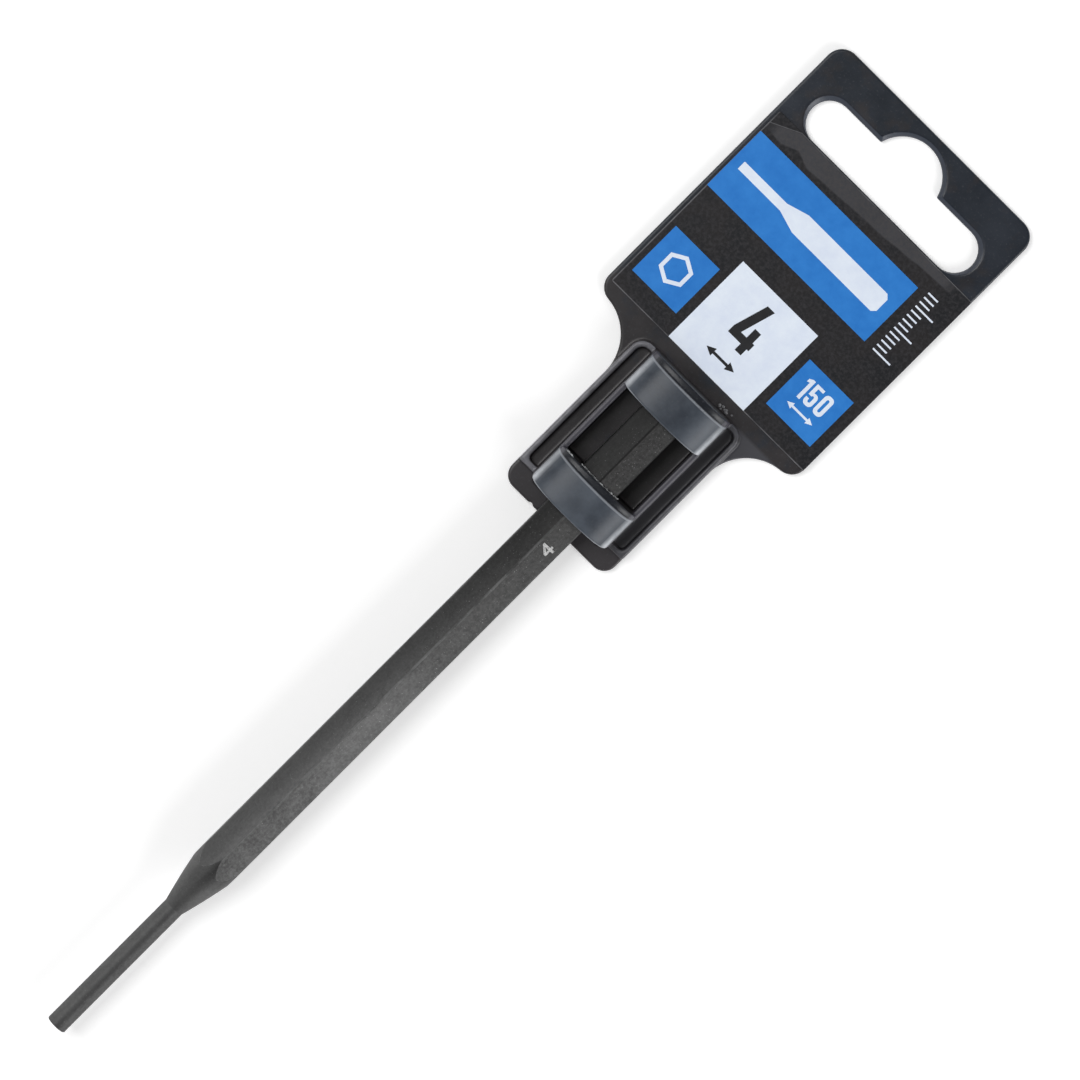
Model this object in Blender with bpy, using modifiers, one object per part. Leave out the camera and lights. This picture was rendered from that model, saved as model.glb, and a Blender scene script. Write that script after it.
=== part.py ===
"""A pin punch held in its plastic peg hanger, lying on its back. Metres, +Z up.

The punch lies along Y with its tip towards -Y and one ridge of its hexagon up. A station is a distance along
Y from the punch's tip. The origin is under the middle of the whole length, on the surface it all lies on.
"""

import math

import bmesh
import bpy
from mathutils import Matrix

# Punch
PUNCH_LENGTH = 0.150
HEX_ACROSS_FLATS = 0.00775
HEX_EDGE_RADIUS = 0.0002
PIN_DIAMETER = 0.0037
PIN_LENGTH = 0.0283
PIN_ROOT_RADIUS = 0.0006
TIP_EDGE_BREAK = 0.00015
CONE_LENGTH = 0.0121
CONE_BULGE = 0.00015
HEAD_FACE_DIAMETER = 0.0060
HEAD_CROWN_LENGTH = 0.00145
HEAD_DOME_HEIGHT = 0.00025
HEAD_FLAT_DIAMETER = 0.0024

# Clearances
PUNCH_CLEARANCE = 0.0003
STOP_CLEARANCE = 0.0003
MEMBER_GAP = 0.0001
LABEL_GAP = 0.0001

# Hanger: plate and clip
PLATE_THICKNESS = 0.0016
MOULDED_EDGE = 0.0003
SEAT_DEPTH = 0.0008
CRADLE_SIDE_ROOM = 0.0038
CRADLE_WALL = 0.0011
CHANNEL_WIDTH = 0.0023
RIM_WIDTH = 0.00105
RIM_HEIGHT = 0.0014
RIM_CORNER = 0.0026
RIM_FOOT_CORNER = 0.0005
RIM_FOOT_FILLET = 0.0010
RIM_FOOT_SETBACK = 0.0011
BAND_LENGTH = 0.0066
BAND_THICKNESS = 0.0012
BAND_EDGE = 0.00025
ARCH_HEIGHT = 0.0052
ARCH_EXPONENT = 2.5
LIP_LENGTH = 0.0012
LIP_ROOF = 0.0007
LIP_EDGE = 0.00015
STOP_LENGTH = 0.0013
WINDOW_LENGTH = 0.0144
FLANGE_LENGTH = 0.0031
FLANGE_CORNER = 0.0026
CORE_HOLE_CORNER = 0.0005

# Hanger: card
CARD_WIDTH = 0.0460
SHOULDER_ANGLE_DEG = 84.6
PANEL_CORNER = 0.0030
PANEL_FOOT = 0.0027
TOP_CORNER = 0.0032
TOP_BRIDGE = 0.0022
SLOT_WIDTH = 0.0372
SLOT_HEIGHT = 0.0079
SLOT_BUMP_RADIUS = 0.0067
SLOT_BUMP_RISE = 0.0051
SLOT_FOOT = 0.0002

# Label
LABEL_WIDTH = 0.0450
LABEL_HEIGHT = 0.0397
LABEL_SHIFT = 0.0004
LABEL_THICKNESS = 0.0002
LABEL_CORNER = 0.0004
PANEL_FOOT_SPARE = 0.00035

# Fineness
TURNED_SIDES = 72
DOME_STEPS = 3
CONE_STEPS = 8
ROOT_STEPS = 3
ARC_STEPS = 10
ARCH_STEPS = 28
HEX_EDGE_STEPS = 2
MOULDED_EDGE_STEPS = 1
SMOOTH_ANGLE_DEG = 30
ROUND_PROFILE = 0.5
MERGE_DISTANCE = 0.000001
OVERSHOOT = 0.002

# Punch: derived
HEX_CORNER_RADIUS = HEX_ACROSS_FLATS / math.sqrt(3)
BORE_CORNER_RADIUS = (HEX_ACROSS_FLATS + 2 * PUNCH_CLEARANCE) / math.sqrt(3)
AXIS_Z = PLATE_THICKNESS - SEAT_DEPTH + BORE_CORNER_RADIUS

# Hanger across the punch: derived
CRADLE_INNER = HEX_ACROSS_FLATS / 2 + CRADLE_SIDE_ROOM
CRADLE_OUTER = CRADLE_INNER + CRADLE_WALL
RIM_INNER = CRADLE_OUTER + CHANNEL_WIDTH
BLOCK_HALF = RIM_INNER + RIM_WIDTH
CARD_HALF = CARD_WIDTH / 2

# Heights: derived
CROWN_Z = AXIS_Z + BORE_CORNER_RADIUS + BAND_THICKNESS
SPRING_Z = CROWN_Z - ARCH_HEIGHT
MEMBER_FOOT_Z = PLATE_THICKNESS + MEMBER_GAP

# Stations along the punch: derived
STOP_START = PUNCH_LENGTH + STOP_CLEARANCE
STOP_END = STOP_START + STOP_LENGTH
UPPER_BAND_END = STOP_START - MEMBER_GAP
UPPER_BAND_START = UPPER_BAND_END - BAND_LENGTH
LIP_END = UPPER_BAND_START - WINDOW_LENGTH
LIP_START = LIP_END - LIP_LENGTH
LOWER_BAND_END = LIP_START - MEMBER_GAP
LOWER_BAND_START = LOWER_BAND_END - BAND_LENGTH
FLANGE_START = LOWER_BAND_START - FLANGE_LENGTH
RIM_START = LOWER_BAND_START + RIM_FOOT_SETBACK
LABEL_START = STOP_END + PANEL_FOOT
LABEL_END = LABEL_START + LABEL_HEIGHT
SLOT_START = LABEL_END + SLOT_FOOT
SLOT_END = SLOT_START + SLOT_HEIGHT
CARD_END = SLOT_END + SLOT_BUMP_RISE + TOP_BRIDGE
MIDDLE = CARD_END / 2

STEEL_COLOUR = (0.045, 0.044, 0.043, 1.0)
PLASTIC_COLOUR = (0.016, 0.018, 0.023, 1.0)
LABEL_COLOUR = (0.013, 0.013, 0.014, 1.0)


def clear_scene():
    for obj in list(bpy.data.objects):
        bpy.data.objects.remove(obj, do_unlink=True)


def new_collection(name):
    collection = bpy.data.collections.new(name)
    bpy.context.scene.collection.children.link(collection)
    return collection


def make_material(name, colour, roughness, metallic):
    material = bpy.data.materials.new(name)
    material.use_nodes = True
    shader = material.node_tree.nodes["Principled BSDF"]
    shader.inputs["Base Color"].default_value = colour
    shader.inputs["Roughness"].default_value = roughness
    shader.inputs["Metallic"].default_value = metallic
    return material


def along(station):
    """World Y of a station."""
    return station - MIDDLE


def arc(centre, radius, start_deg, end_deg, steps=ARC_STEPS):
    """Points of an arc, both ends included."""
    points = []
    for step in range(steps + 1):
        angle = math.radians(start_deg + (end_deg - start_deg) * step / steps)
        points.append((centre[0] + radius * math.cos(angle), centre[1] + radius * math.sin(angle)))
    return points


def rounded_rectangle(low, high, corner):
    """Corners rounded, running anticlockwise."""
    radius = min(corner, (high[0] - low[0]) / 2, (high[1] - low[1]) / 2)
    centres = (
        (high[0] - radius, low[1] + radius),
        (high[0] - radius, high[1] - radius),
        (low[0] + radius, high[1] - radius),
        (low[0] + radius, low[1] + radius),
    )
    points = []
    for quarter, centre in enumerate(centres):
        start = -90 + 90 * quarter
        points += arc(centre, radius, start, start + 90)
    return points


def mirrored(points):
    """The outline mirrored across the punch's plane, kept running the same way round."""
    return [(-x, y) for x, y in reversed(points)]


def superellipse(half_width, height, base):
    """An arch from +X over the crown to -X: flat on top and round at its shoulders."""
    points = []
    for step in range(ARCH_STEPS + 1):
        angle = math.pi * step / ARCH_STEPS
        across = abs(math.cos(angle)) ** (2 / ARCH_EXPONENT)
        up = math.sin(angle) ** (2 / ARCH_EXPONENT)
        points.append((math.copysign(half_width * across, math.cos(angle)), base + height * up))
    return points


def flat_solid(name, outlines, thickness, edge, matrix, collection, material=None):
    """Closed outlines given thickness about their plane; the first outline holds the others as holes."""
    curve = bpy.data.curves.new(name, "CURVE")
    curve.dimensions = "2D"
    curve.fill_mode = "BOTH"
    curve.extrude = thickness / 2 - edge
    curve.bevel_depth = edge
    curve.bevel_resolution = MOULDED_EDGE_STEPS
    curve.offset = -edge
    for outline in outlines:
        spline = curve.splines.new("POLY")
        spline.points.add(len(outline) - 1)
        for point, (x, y) in zip(spline.points, outline):
            point.co = (x, y, 0, 1)
        spline.use_cyclic_u = True
    drawn = bpy.data.objects.new(name + "_outline", curve)
    collection.objects.link(drawn)
    drawn.matrix_world = matrix
    bpy.context.view_layer.update()
    graph = bpy.context.evaluated_depsgraph_get()
    mesh = bpy.data.meshes.new_from_object(drawn.evaluated_get(graph))
    mesh.name = name
    bpy.data.objects.remove(drawn, do_unlink=True)
    bpy.data.curves.remove(curve)
    shape = bmesh.new()
    shape.from_mesh(mesh)
    bmesh.ops.remove_doubles(shape, verts=shape.verts, dist=MERGE_DISTANCE)
    bmesh.ops.recalc_face_normals(shape, faces=shape.faces)
    shape.to_mesh(mesh)
    shape.free()
    solid = bpy.data.objects.new(name, mesh)
    solid.matrix_world = matrix
    collection.objects.link(solid)
    finish(solid, material)
    return solid


def finish(solid, material):
    """Round faces are shaded smooth and the material is set."""
    solid.data.shade_smooth()
    solid.data.set_sharp_from_angle(angle=math.radians(SMOOTH_ANGLE_DEG))
    solid.data.materials.clear()
    if material:
        solid.data.materials.append(material)


def upright(station_start, station_end):
    """Matrix that stands an outline drawn across the punch (x, height) between two stations."""
    middle = along((station_start + station_end) / 2)
    return Matrix.Translation((0, middle, 0)) @ Matrix.Rotation(math.radians(90), 4, "X")


def lying(low_z, high_z):
    """Matrix that lays an outline drawn in plan (x, world y) between two heights."""
    return Matrix.Translation((0, 0, (low_z + high_z) / 2))


def subtract(solid, cutter):
    cut = solid.modifiers.new("cut_" + cutter.name, "BOOLEAN")
    cut.operation = "DIFFERENCE"
    cut.solver = "EXACT"
    cut.object = cutter


def as_cutter(solid):
    solid.hide_render = True
    solid.display_type = "WIRE"


def hex_prism(name, corner_radius, start, end, edge_radius, collection):
    """A hexagonal bar along Y with a ridge up, its origin on its axis at the punch's tip."""
    shape = bmesh.new()
    bmesh.ops.create_cone(
        shape,
        cap_ends=True,
        segments=6,
        radius1=corner_radius,
        radius2=corner_radius,
        depth=end - start,
        matrix=Matrix.Translation((0, 0, (start + end) / 2)),
    )
    if edge_radius:
        drops = {edge: abs((edge.verts[0].co - edge.verts[1].co).z) for edge in shape.edges}
        bmesh.ops.bevel(
            shape,
            geom=[edge for edge, drop in drops.items() if drop > corner_radius],
            offset=edge_radius,
            segments=HEX_EDGE_STEPS,
            affect="EDGES",
            profile=ROUND_PROFILE,
        )
    mesh = bpy.data.meshes.new(name)
    bmesh.ops.recalc_face_normals(shape, faces=shape.faces)
    shape.to_mesh(mesh)
    shape.free()
    bar = bpy.data.objects.new(name, mesh)
    bar.matrix_world = punch_matrix()
    collection.objects.link(bar)
    return bar


def punch_matrix():
    """Local Z runs along the punch from its tip to its head."""
    return Matrix.Translation((0, along(0), AXIS_Z)) @ Matrix.Rotation(math.radians(-90), 4, "X")


def turned_profile():
    """Radius and station of the turned envelope, from the head's centre down its side to the tip's centre."""
    pin_radius = PIN_DIAMETER / 2
    face_radius = HEAD_FACE_DIAMETER / 2
    flat_radius = HEAD_FLAT_DIAMETER / 2
    outside = HEX_CORNER_RADIUS + HEX_EDGE_RADIUS + PUNCH_CLEARANCE
    points = [(0, PUNCH_LENGTH), (flat_radius, PUNCH_LENGTH)]
    for step in range(1, DOME_STEPS + 1):
        share = step / DOME_STEPS
        radius = flat_radius + (face_radius - flat_radius) * share
        points.append((radius, PUNCH_LENGTH - HEAD_DOME_HEIGHT * share**2))
    crown_slope = HEAD_CROWN_LENGTH / (HEX_CORNER_RADIUS - face_radius)
    points.append((outside, PUNCH_LENGTH - HEAD_DOME_HEIGHT - (outside - face_radius) * crown_slope))

    rise = HEX_CORNER_RADIUS - pin_radius
    bulge_slope = 4 * CONE_BULGE / CONE_LENGTH
    start_slope = rise / CONE_LENGTH + bulge_slope
    end_slope = rise / CONE_LENGTH - bulge_slope
    cone_end = PIN_LENGTH + CONE_LENGTH
    points.append((outside, cone_end + (outside - HEX_CORNER_RADIUS) / end_slope))
    for step in range(CONE_STEPS, 0, -1):
        share = step / CONE_STEPS
        bulge = bulge_slope * CONE_LENGTH * share * (1 - share)
        points.append((pin_radius + rise * share + bulge, PIN_LENGTH + CONE_LENGTH * share))

    root_turn = math.atan(start_slope)
    root_centre = (pin_radius + PIN_ROOT_RADIUS, PIN_LENGTH - PIN_ROOT_RADIUS * math.tan(root_turn / 2))
    points += arc(root_centre, PIN_ROOT_RADIUS, 180 - math.degrees(root_turn), 180, ROOT_STEPS)
    points.append((pin_radius, TIP_EDGE_BREAK))
    points.append((pin_radius - TIP_EDGE_BREAK, 0))
    points.append((0, 0))
    return points


def make_turned_envelope(collection):
    profile = turned_profile()
    mesh = bpy.data.meshes.new("turned_envelope")
    edges = [(index, index + 1) for index in range(len(profile) - 1)]
    mesh.from_pydata([(radius, 0, station) for radius, station in profile], edges, [])
    envelope = bpy.data.objects.new("turned_envelope", mesh)
    envelope.matrix_world = punch_matrix()
    collection.objects.link(envelope)
    spin = envelope.modifiers.new("spin", "SCREW")
    spin.steps = TURNED_SIDES
    spin.render_steps = TURNED_SIDES
    spin.use_merge_vertices = True
    spin.merge_threshold = MERGE_DISTANCE
    as_cutter(envelope)
    return envelope


def make_punch(parts, cutters, material):
    """A hexagonal bar trimmed by the turned envelope of pin, cone and crowned head."""
    envelope = make_turned_envelope(cutters)
    bar_end = PUNCH_LENGTH + OVERSHOOT
    punch = hex_prism("punch", HEX_CORNER_RADIUS, -OVERSHOOT, bar_end, HEX_EDGE_RADIUS, parts)
    trim = punch.modifiers.new("turned", "BOOLEAN")
    trim.operation = "INTERSECT"
    trim.solver = "EXACT"
    trim.object = envelope
    finish(punch, material)
    return punch


def card_outline():
    """The card's edge in plan, anticlockwise from the flange's lower right corner.

    The neck's hollow fillet runs into the panel's round corner where the edge leans by the shoulder's angle.
    """
    turn = math.radians(SHOULDER_ANGLE_DEG)
    both_radii = (CARD_HALF - BLOCK_HALF) / (1 - math.cos(turn))
    neck_fillet = both_radii - PANEL_CORNER
    corner_y = along(LABEL_START + PANEL_FOOT_SPARE)
    neck_y = corner_y - both_radii * math.sin(turn)
    top_y = along(CARD_END)
    flange_y = along(FLANGE_START)
    right = arc((BLOCK_HALF - FLANGE_CORNER, flange_y + FLANGE_CORNER), FLANGE_CORNER, -90, 0)
    right += arc((BLOCK_HALF + neck_fillet, neck_y), neck_fillet, 180, 180 - SHOULDER_ANGLE_DEG)
    right += arc((CARD_HALF - PANEL_CORNER, corner_y), PANEL_CORNER, -SHOULDER_ANGLE_DEG, 0)
    right += arc((CARD_HALF - TOP_CORNER, top_y - TOP_CORNER), TOP_CORNER, 0, 90)
    return right + mirrored(right)


def slot_outline():
    """The peg slot, clockwise because it is a hole: a long slot with round ends and a round bump on top."""
    end_radius = SLOT_HEIGHT / 2
    end_x = SLOT_WIDTH / 2 - end_radius
    centre_y = along(SLOT_START) + end_radius
    bump_drop = SLOT_BUMP_RADIUS - SLOT_BUMP_RISE
    bump_start = math.degrees(math.asin(bump_drop / SLOT_BUMP_RADIUS))
    right = arc((end_x, centre_y), end_radius, -90, 90)
    bump_centre = (0, along(SLOT_END) - bump_drop)
    bump = arc(bump_centre, SLOT_BUMP_RADIUS, bump_start, 180 - bump_start, 2 * ARC_STEPS)
    left = arc((-end_x, centre_y), end_radius, 90, 270)
    return list(reversed(right + bump + left))


def core_hole(start, end):
    """The opening in the plate behind a band, clockwise because it is a hole."""
    low = (-CRADLE_INNER, along(start))
    high = (CRADLE_INNER, along(end))
    return list(reversed(rounded_rectangle(low, high, CORE_HOLE_CORNER)))


def make_card(parts, bore, material):
    outlines = [card_outline(), slot_outline()]
    outlines.append(core_hole(LOWER_BAND_START, LOWER_BAND_END))
    outlines.append(core_hole(UPPER_BAND_START, UPPER_BAND_END))
    place = lying(0, PLATE_THICKNESS)
    card = flat_solid("hanger_card", outlines, PLATE_THICKNESS, MOULDED_EDGE, place, parts, material)
    subtract(card, bore)
    return card


def rim_outline():
    """The right-hand rim in plan, anticlockwise: a wall whose foot and round top turn in to the cradle."""
    inner_end = CRADLE_OUTER + MEMBER_GAP
    foot_y = along(RIM_START)
    top_y = along(STOP_END)
    top_centre = (BLOCK_HALF - RIM_CORNER, top_y - RIM_CORNER)
    foot_centre = (BLOCK_HALF - RIM_FOOT_CORNER, foot_y + RIM_FOOT_CORNER)
    foot_fillet_centre = (RIM_INNER - RIM_FOOT_FILLET, foot_y + RIM_WIDTH + RIM_FOOT_FILLET)
    points = [(inner_end, foot_y)]
    points += arc(foot_centre, RIM_FOOT_CORNER, -90, 0)
    points += arc(top_centre, RIM_CORNER, 0, 90)
    points += [(inner_end, top_y), (inner_end, top_y - RIM_WIDTH)]
    points += arc(top_centre, RIM_CORNER - RIM_WIDTH, 90, 0)
    points += arc(foot_fillet_centre, RIM_FOOT_FILLET, 0, -90)
    points.append((inner_end, foot_y + RIM_WIDTH))
    return points


def make_rims(parts, material):
    top = PLATE_THICKNESS + RIM_HEIGHT
    place = lying(MEMBER_FOOT_Z, top)
    outline = rim_outline()
    for name, shape in (("right_rim", outline), ("left_rim", mirrored(outline))):
        flat_solid(name, [shape], top - MEMBER_FOOT_Z, MOULDED_EDGE, place, parts, material)


def make_cradle_walls(parts, material):
    top = SPRING_Z - MEMBER_GAP
    low = (CRADLE_INNER, MEMBER_FOOT_Z)
    high = (CRADLE_OUTER, top)
    outline = rounded_rectangle(low, high, MOULDED_EDGE)
    place = upright(LOWER_BAND_START, STOP_END)
    length = STOP_END - LOWER_BAND_START
    for name, shape in (("right_cradle_wall", outline), ("left_cradle_wall", mirrored(outline))):
        flat_solid(name, [shape], length, BAND_EDGE, place, parts, material)


def make_bands(parts, material):
    """Two arched bands over the punch, flat on top and round at the shoulders."""
    outer = superellipse(CRADLE_OUTER, ARCH_HEIGHT, SPRING_Z)
    inner = superellipse(CRADLE_INNER, ARCH_HEIGHT - BAND_THICKNESS, SPRING_Z)
    outline = outer + list(reversed(inner))
    for name, start in (("lower_band", LOWER_BAND_START), ("upper_band", UPPER_BAND_START)):
        place = upright(start, start + BAND_LENGTH)
        flat_solid(name, [outline], BAND_LENGTH, BAND_EDGE, place, parts, material)


def cross_wall_arch():
    """A wall across the cradle, seen from its end: an arch above, on the cradle's walls, and sides below."""
    inside = CRADLE_INNER - MEMBER_GAP
    right = [(inside, MEMBER_FOOT_Z), (inside, SPRING_Z)]
    arch = superellipse(CRADLE_OUTER, ARCH_HEIGHT - BAND_THICKNESS + LIP_ROOF, SPRING_Z)
    return right + arch + mirrored(right)


def punch_hole():
    """The punch's hole, open at a wall's foot, left to right: upright sides and a roof over the ridge."""
    side = BORE_CORNER_RADIUS * math.cos(math.radians(30))
    eaves = AXIS_Z + BORE_CORNER_RADIUS / 2
    left = [(-side, MEMBER_FOOT_Z), (-side, eaves)]
    return left + [(0, AXIS_Z + BORE_CORNER_RADIUS)] + mirrored(left)


def make_cross_walls(parts, material):
    """The guide lip, with the punch's hole in it, and the stop behind the punch's head."""
    walls = (
        ("guide_lip", LIP_START, LIP_END, cross_wall_arch() + punch_hole()),
        ("end_stop", STOP_START, STOP_END, cross_wall_arch()),
    )
    for name, start, end, outline in walls:
        flat_solid(name, [outline], end - start, LIP_EDGE, upright(start, end), parts, material)


def make_label(parts, material):
    low = (LABEL_SHIFT - LABEL_WIDTH / 2, along(LABEL_START))
    high = (LABEL_SHIFT + LABEL_WIDTH / 2, along(LABEL_END))
    outline = rounded_rectangle(low, high, LABEL_CORNER)
    foot = PLATE_THICKNESS + LABEL_GAP
    place = lying(foot, foot + LABEL_THICKNESS)
    flat_solid("label", [outline], LABEL_THICKNESS, 0, place, parts, material)


def main():
    clear_scene()
    parts = new_collection("pin_punch_in_hanger")
    cutters = new_collection("cutters")
    steel = make_material("black_steel", STEEL_COLOUR, roughness=0.45, metallic=0.9)
    plastic = make_material("black_plastic", PLASTIC_COLOUR, roughness=0.35, metallic=0)
    film = make_material("label_film", LABEL_COLOUR, roughness=0.3, metallic=0)

    bore = hex_prism("punch_bore", BORE_CORNER_RADIUS, FLANGE_START - OVERSHOOT, STOP_START, 0, cutters)
    as_cutter(bore)
    make_punch(parts, cutters, steel)
    make_card(parts, bore, plastic)
    make_rims(parts, plastic)
    make_cradle_walls(parts, plastic)
    make_bands(parts, plastic)
    make_cross_walls(parts, plastic)
    make_label(parts, film)


main()
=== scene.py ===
"""The looks of a pin punch in its plastic peg hanger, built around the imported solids. Metres, +Z up.

The punch lies along Y with its tip towards -Y and one ridge of its hexagon up. A station is a distance along
Y from the punch's tip.
"""

import math

import bmesh
import bpy
from mathutils import Matrix, Vector


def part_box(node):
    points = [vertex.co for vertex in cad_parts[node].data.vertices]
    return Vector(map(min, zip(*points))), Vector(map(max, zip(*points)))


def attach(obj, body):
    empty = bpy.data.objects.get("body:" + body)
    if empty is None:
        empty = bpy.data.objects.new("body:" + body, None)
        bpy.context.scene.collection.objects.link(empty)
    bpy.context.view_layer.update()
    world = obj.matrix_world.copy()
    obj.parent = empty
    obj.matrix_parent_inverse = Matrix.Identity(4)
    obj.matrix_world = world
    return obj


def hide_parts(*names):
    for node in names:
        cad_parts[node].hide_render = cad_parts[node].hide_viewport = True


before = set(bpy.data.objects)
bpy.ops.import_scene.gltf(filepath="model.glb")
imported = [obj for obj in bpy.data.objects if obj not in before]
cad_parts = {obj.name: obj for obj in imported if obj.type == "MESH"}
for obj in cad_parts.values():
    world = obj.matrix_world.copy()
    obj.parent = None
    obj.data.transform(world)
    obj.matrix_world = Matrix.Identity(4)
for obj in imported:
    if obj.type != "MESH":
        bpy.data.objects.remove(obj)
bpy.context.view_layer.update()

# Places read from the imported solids
CARD_LOW, CARD_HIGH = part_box("hanger_card")
RIM_LOW, RIM_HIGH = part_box("right_rim")
WALL_LOW, WALL_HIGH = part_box("right_cradle_wall")
LOWER_LOW, LOWER_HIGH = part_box("lower_band")
UPPER_LOW, UPPER_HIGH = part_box("upper_band")
LIP_LOW, LIP_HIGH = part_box("guide_lip")
STOP_LOW, STOP_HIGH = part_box("end_stop")
PUNCH_LOW, PUNCH_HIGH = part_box("punch")
LABEL_LOW, LABEL_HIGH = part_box("label")

PLATE_TOP = CARD_HIGH.z
SPRING_Z = LOWER_LOW.z
BAND_RISE = LOWER_HIGH.z - SPRING_Z
LIP_RISE = LIP_HIGH.z - SPRING_Z
WALL_MIDDLE_X = (WALL_LOW.x + WALL_HIGH.x) / 2

# Hanger: its card
CARD_EDGE = 0.0003
SHOULDER_ANGLE_DEG = 84.6
PANEL_CORNER = 0.0030
PANEL_FOOT_SPARE = 0.00035
TOP_CORNER = 0.0032
FLANGE_CORNER = 0.0026
CORE_HOLE_CORNER = 0.0005
BORE_END_SPARE = CORE_HOLE_CORNER / 8
TOP_BRIDGE = 0.0022
SLOT_WIDTH = 0.0372
SLOT_HEIGHT = 0.0079
SLOT_BUMP_RADIUS = 0.0067
SLOT_BUMP_RISE = 0.0051
SLOT_CHAMFER_WIDTH = 0.0008
SLOT_CHAMFER_DEPTH = 0.0005
GATE_X = -0.0053
GATE_RADIUS = 0.0005
GATE_DEPTH = 0.0003
EJECTOR_RADIUS = 0.0015
EJECTOR_DEPTH = 0.00018
EJECTOR_INSET = 0.0050

# Hanger: its clip
FOOT_SINK = 0.0008
CLIP_FOOT_Z = PLATE_TOP - FOOT_SINK
RIM_WIDTH = 0.00105
RIM_CORNER = 0.0026
RIM_EDGE = 0.00045
RIM_FOOT_CORNER = 0.0005
RIM_FOOT_FILLET = 0.0010
WALL_EDGE = 0.00035
BAND_THICKNESS = 0.0012
BAND_SETBACK = 0.00012
CROSS_WALL_HALF = WALL_HIGH.x - 2 * BAND_SETBACK
BAND_LEG = 0.0015
BAND_EDGE = 0.00025
LOWER_LEAN = (0.0010, 0.0003)
UPPER_LEAN = (0.0005, 0.0001)
LIP_FACE_SHIFT = 0.0003
ARCH_EXPONENT = 2.5
CROSS_WALL_EDGE = 0.00015
MOULDING_GRAIN = 0.00016
MOULDING_SMOOTHING = 6
MOULDING_KEPT = 0.27
FLASH_PROUD = 0.00005
FLASH_COUNT = 40
FLASH_CRUMB_COUNT = 12
FLASH_STRAY = 0.00008
FLASH_THINNEST = 0.00004
FLASH_THICKEST = 0.0002
FLASH_DROP = 0.0003
FLASH_CRUMB_X = (-0.0077, -0.0059)
FLASH_SIDES = 6
FLASH_SEED = 4
SPECK_X = (0.0050, 0.0085)
SPECK_STATIONS = (0.15185, 0.1526)
SPECK_COUNT = 7
SPECK_SMALLEST = 0.00016
SPECK_LARGEST = 0.00034
SPECK_SEED = 7

# Punch
HEX_SIDES = 6
HEX_HALF_SIDE = math.radians(30)
HEX_APOTHEM = (PUNCH_HIGH.x - PUNCH_LOW.x) / 2
PUNCH_AXIS_Z = (PUNCH_LOW.z + PUNCH_HIGH.z) / 2
PUNCH_LENGTH = PUNCH_HIGH.y - PUNCH_LOW.y
HEX_CORNER_RADIUS = HEX_APOTHEM / math.cos(HEX_HALF_SIDE)
PUNCH_CLEARANCE = 0.0003
HOLE_SIDE_X = HEX_APOTHEM + PUNCH_CLEARANCE
HOLE_CORNER_RADIUS = HEX_CORNER_RADIUS + PUNCH_CLEARANCE / math.cos(HEX_HALF_SIDE)
HOLE_EAVES_Z = PUNCH_AXIS_Z + HOLE_CORNER_RADIUS / 2
HOLE_RIDGE_Z = PUNCH_AXIS_Z + HOLE_CORNER_RADIUS
PIN_RADIUS = 0.00185
PIN_LENGTH = 0.0283
TIP_EDGE_BREAK = 0.00015
CONE_LENGTH = 0.0121
CONE_BULGE = 0.00015
HEAD_FACE_RADIUS = 0.0030
HEAD_FLAT_RADIUS = 0.0012
HEAD_CROWN_LENGTH = 0.00145
HEAD_DOME_HEIGHT = 0.00025
TURNED_EDGE_BLEND = 0.00006
HEX_EDGE_RADIUS = 0.0002
PIN_ROOT_RADIUS = 0.0006
BAR_OVERSHOOT = 0.002
TURNED_SIDES = 288
TURNED_ATTRIBUTE = "turned_radius"
MARK_HEIGHT = 0.0026
MARK_RISE = 0.00018
BROAD_FOUR_WIDTH = 0.74
MARK_STATION = 0.1154
MARK_THICKNESS = 0.00002

# Label: places across and along it
BANNER_RIGHT = 0.0149
BANNER_STATIONS = (0.1768, 0.1894)
SIZE_FIELD_HALF = 0.0088
SIZE_FIELD_STATIONS = (0.1544, 0.1720)
SMALL_FIELD_HALF = 0.00515
SMALL_FIELD_X = 0.01573
SMALL_FIELD_STATIONS = (0.15795, 0.1683)
LIFTED_DEPTHS = (0.0037, 0.0014)
LIFTED_SLOPE_LEFT = -0.0120
LIFTED_WAVE = 0.0002
CREASE_WIDTH = 0.0052
CREASE_DEPTHS = (0.0026, 0.0001)
CREASE_FADE = 0.0002
CREASE_LINE = (-0.00008, 0.00004)
CREASE_LINE_BLUR = 0.00006
LIFTED_FADE = (-0.0001, 0.0002)
LIFTED_LEFT_SPARES = (0.0002, 0.0024)
LIFTED_RIGHT_SPARES = (0.0055, 0.0030)
LIFTED_HUMP_X = -0.0152
LIFTED_HUMP_HALF = 0.0030
LIFTED_HUMP_RISE = 0.0012
LABEL_CORNER = 0.0004
FILM_EDGE = 0.00004
FILM_SINK = 0.00003
FILM_EDGE_WIDTH = 0.00012
INK_THICKNESS = 0.00002
INK_OVERLAP = 1.2
FOUR_WIDTH = 0.531
ONE_WIDTH = 0.295
FIGURE_WIDTH = 0.465
FIGURE_STROKE = 0.165
FIGURE_CORNER = 0.19
EYE_CORNER = FIGURE_CORNER - FIGURE_STROKE * 0.72
FIGURE_GAP = 0.115
SIZE_FIGURE_HEIGHT = 0.0090
SIZE_FIGURE_RISE = 0.0019
SIZE_LINE_DROP = 0.0028
SIZE_LINE_HALF = 0.0032
SIZE_LINE_STROKE = 0.0005
SIZE_ARROW = 0.0016
LENGTH_FIGURE_HEIGHT = 0.0040
LENGTH_FIGURE_RISE = -0.0008
LENGTH_LINE_DROP = 0.0024
LENGTH_LINE_STROKE = 0.0004
LENGTH_ARROW = 0.0012
SECTION_RADIUS = 0.0030
SECTION_STROKE = 0.0008
SILHOUETTE_X = (-0.0203, 0.0127)
SILHOUETTE_HALF = 0.0020
TICK_COUNT = 14
TICK_PITCH = 0.001
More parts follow.
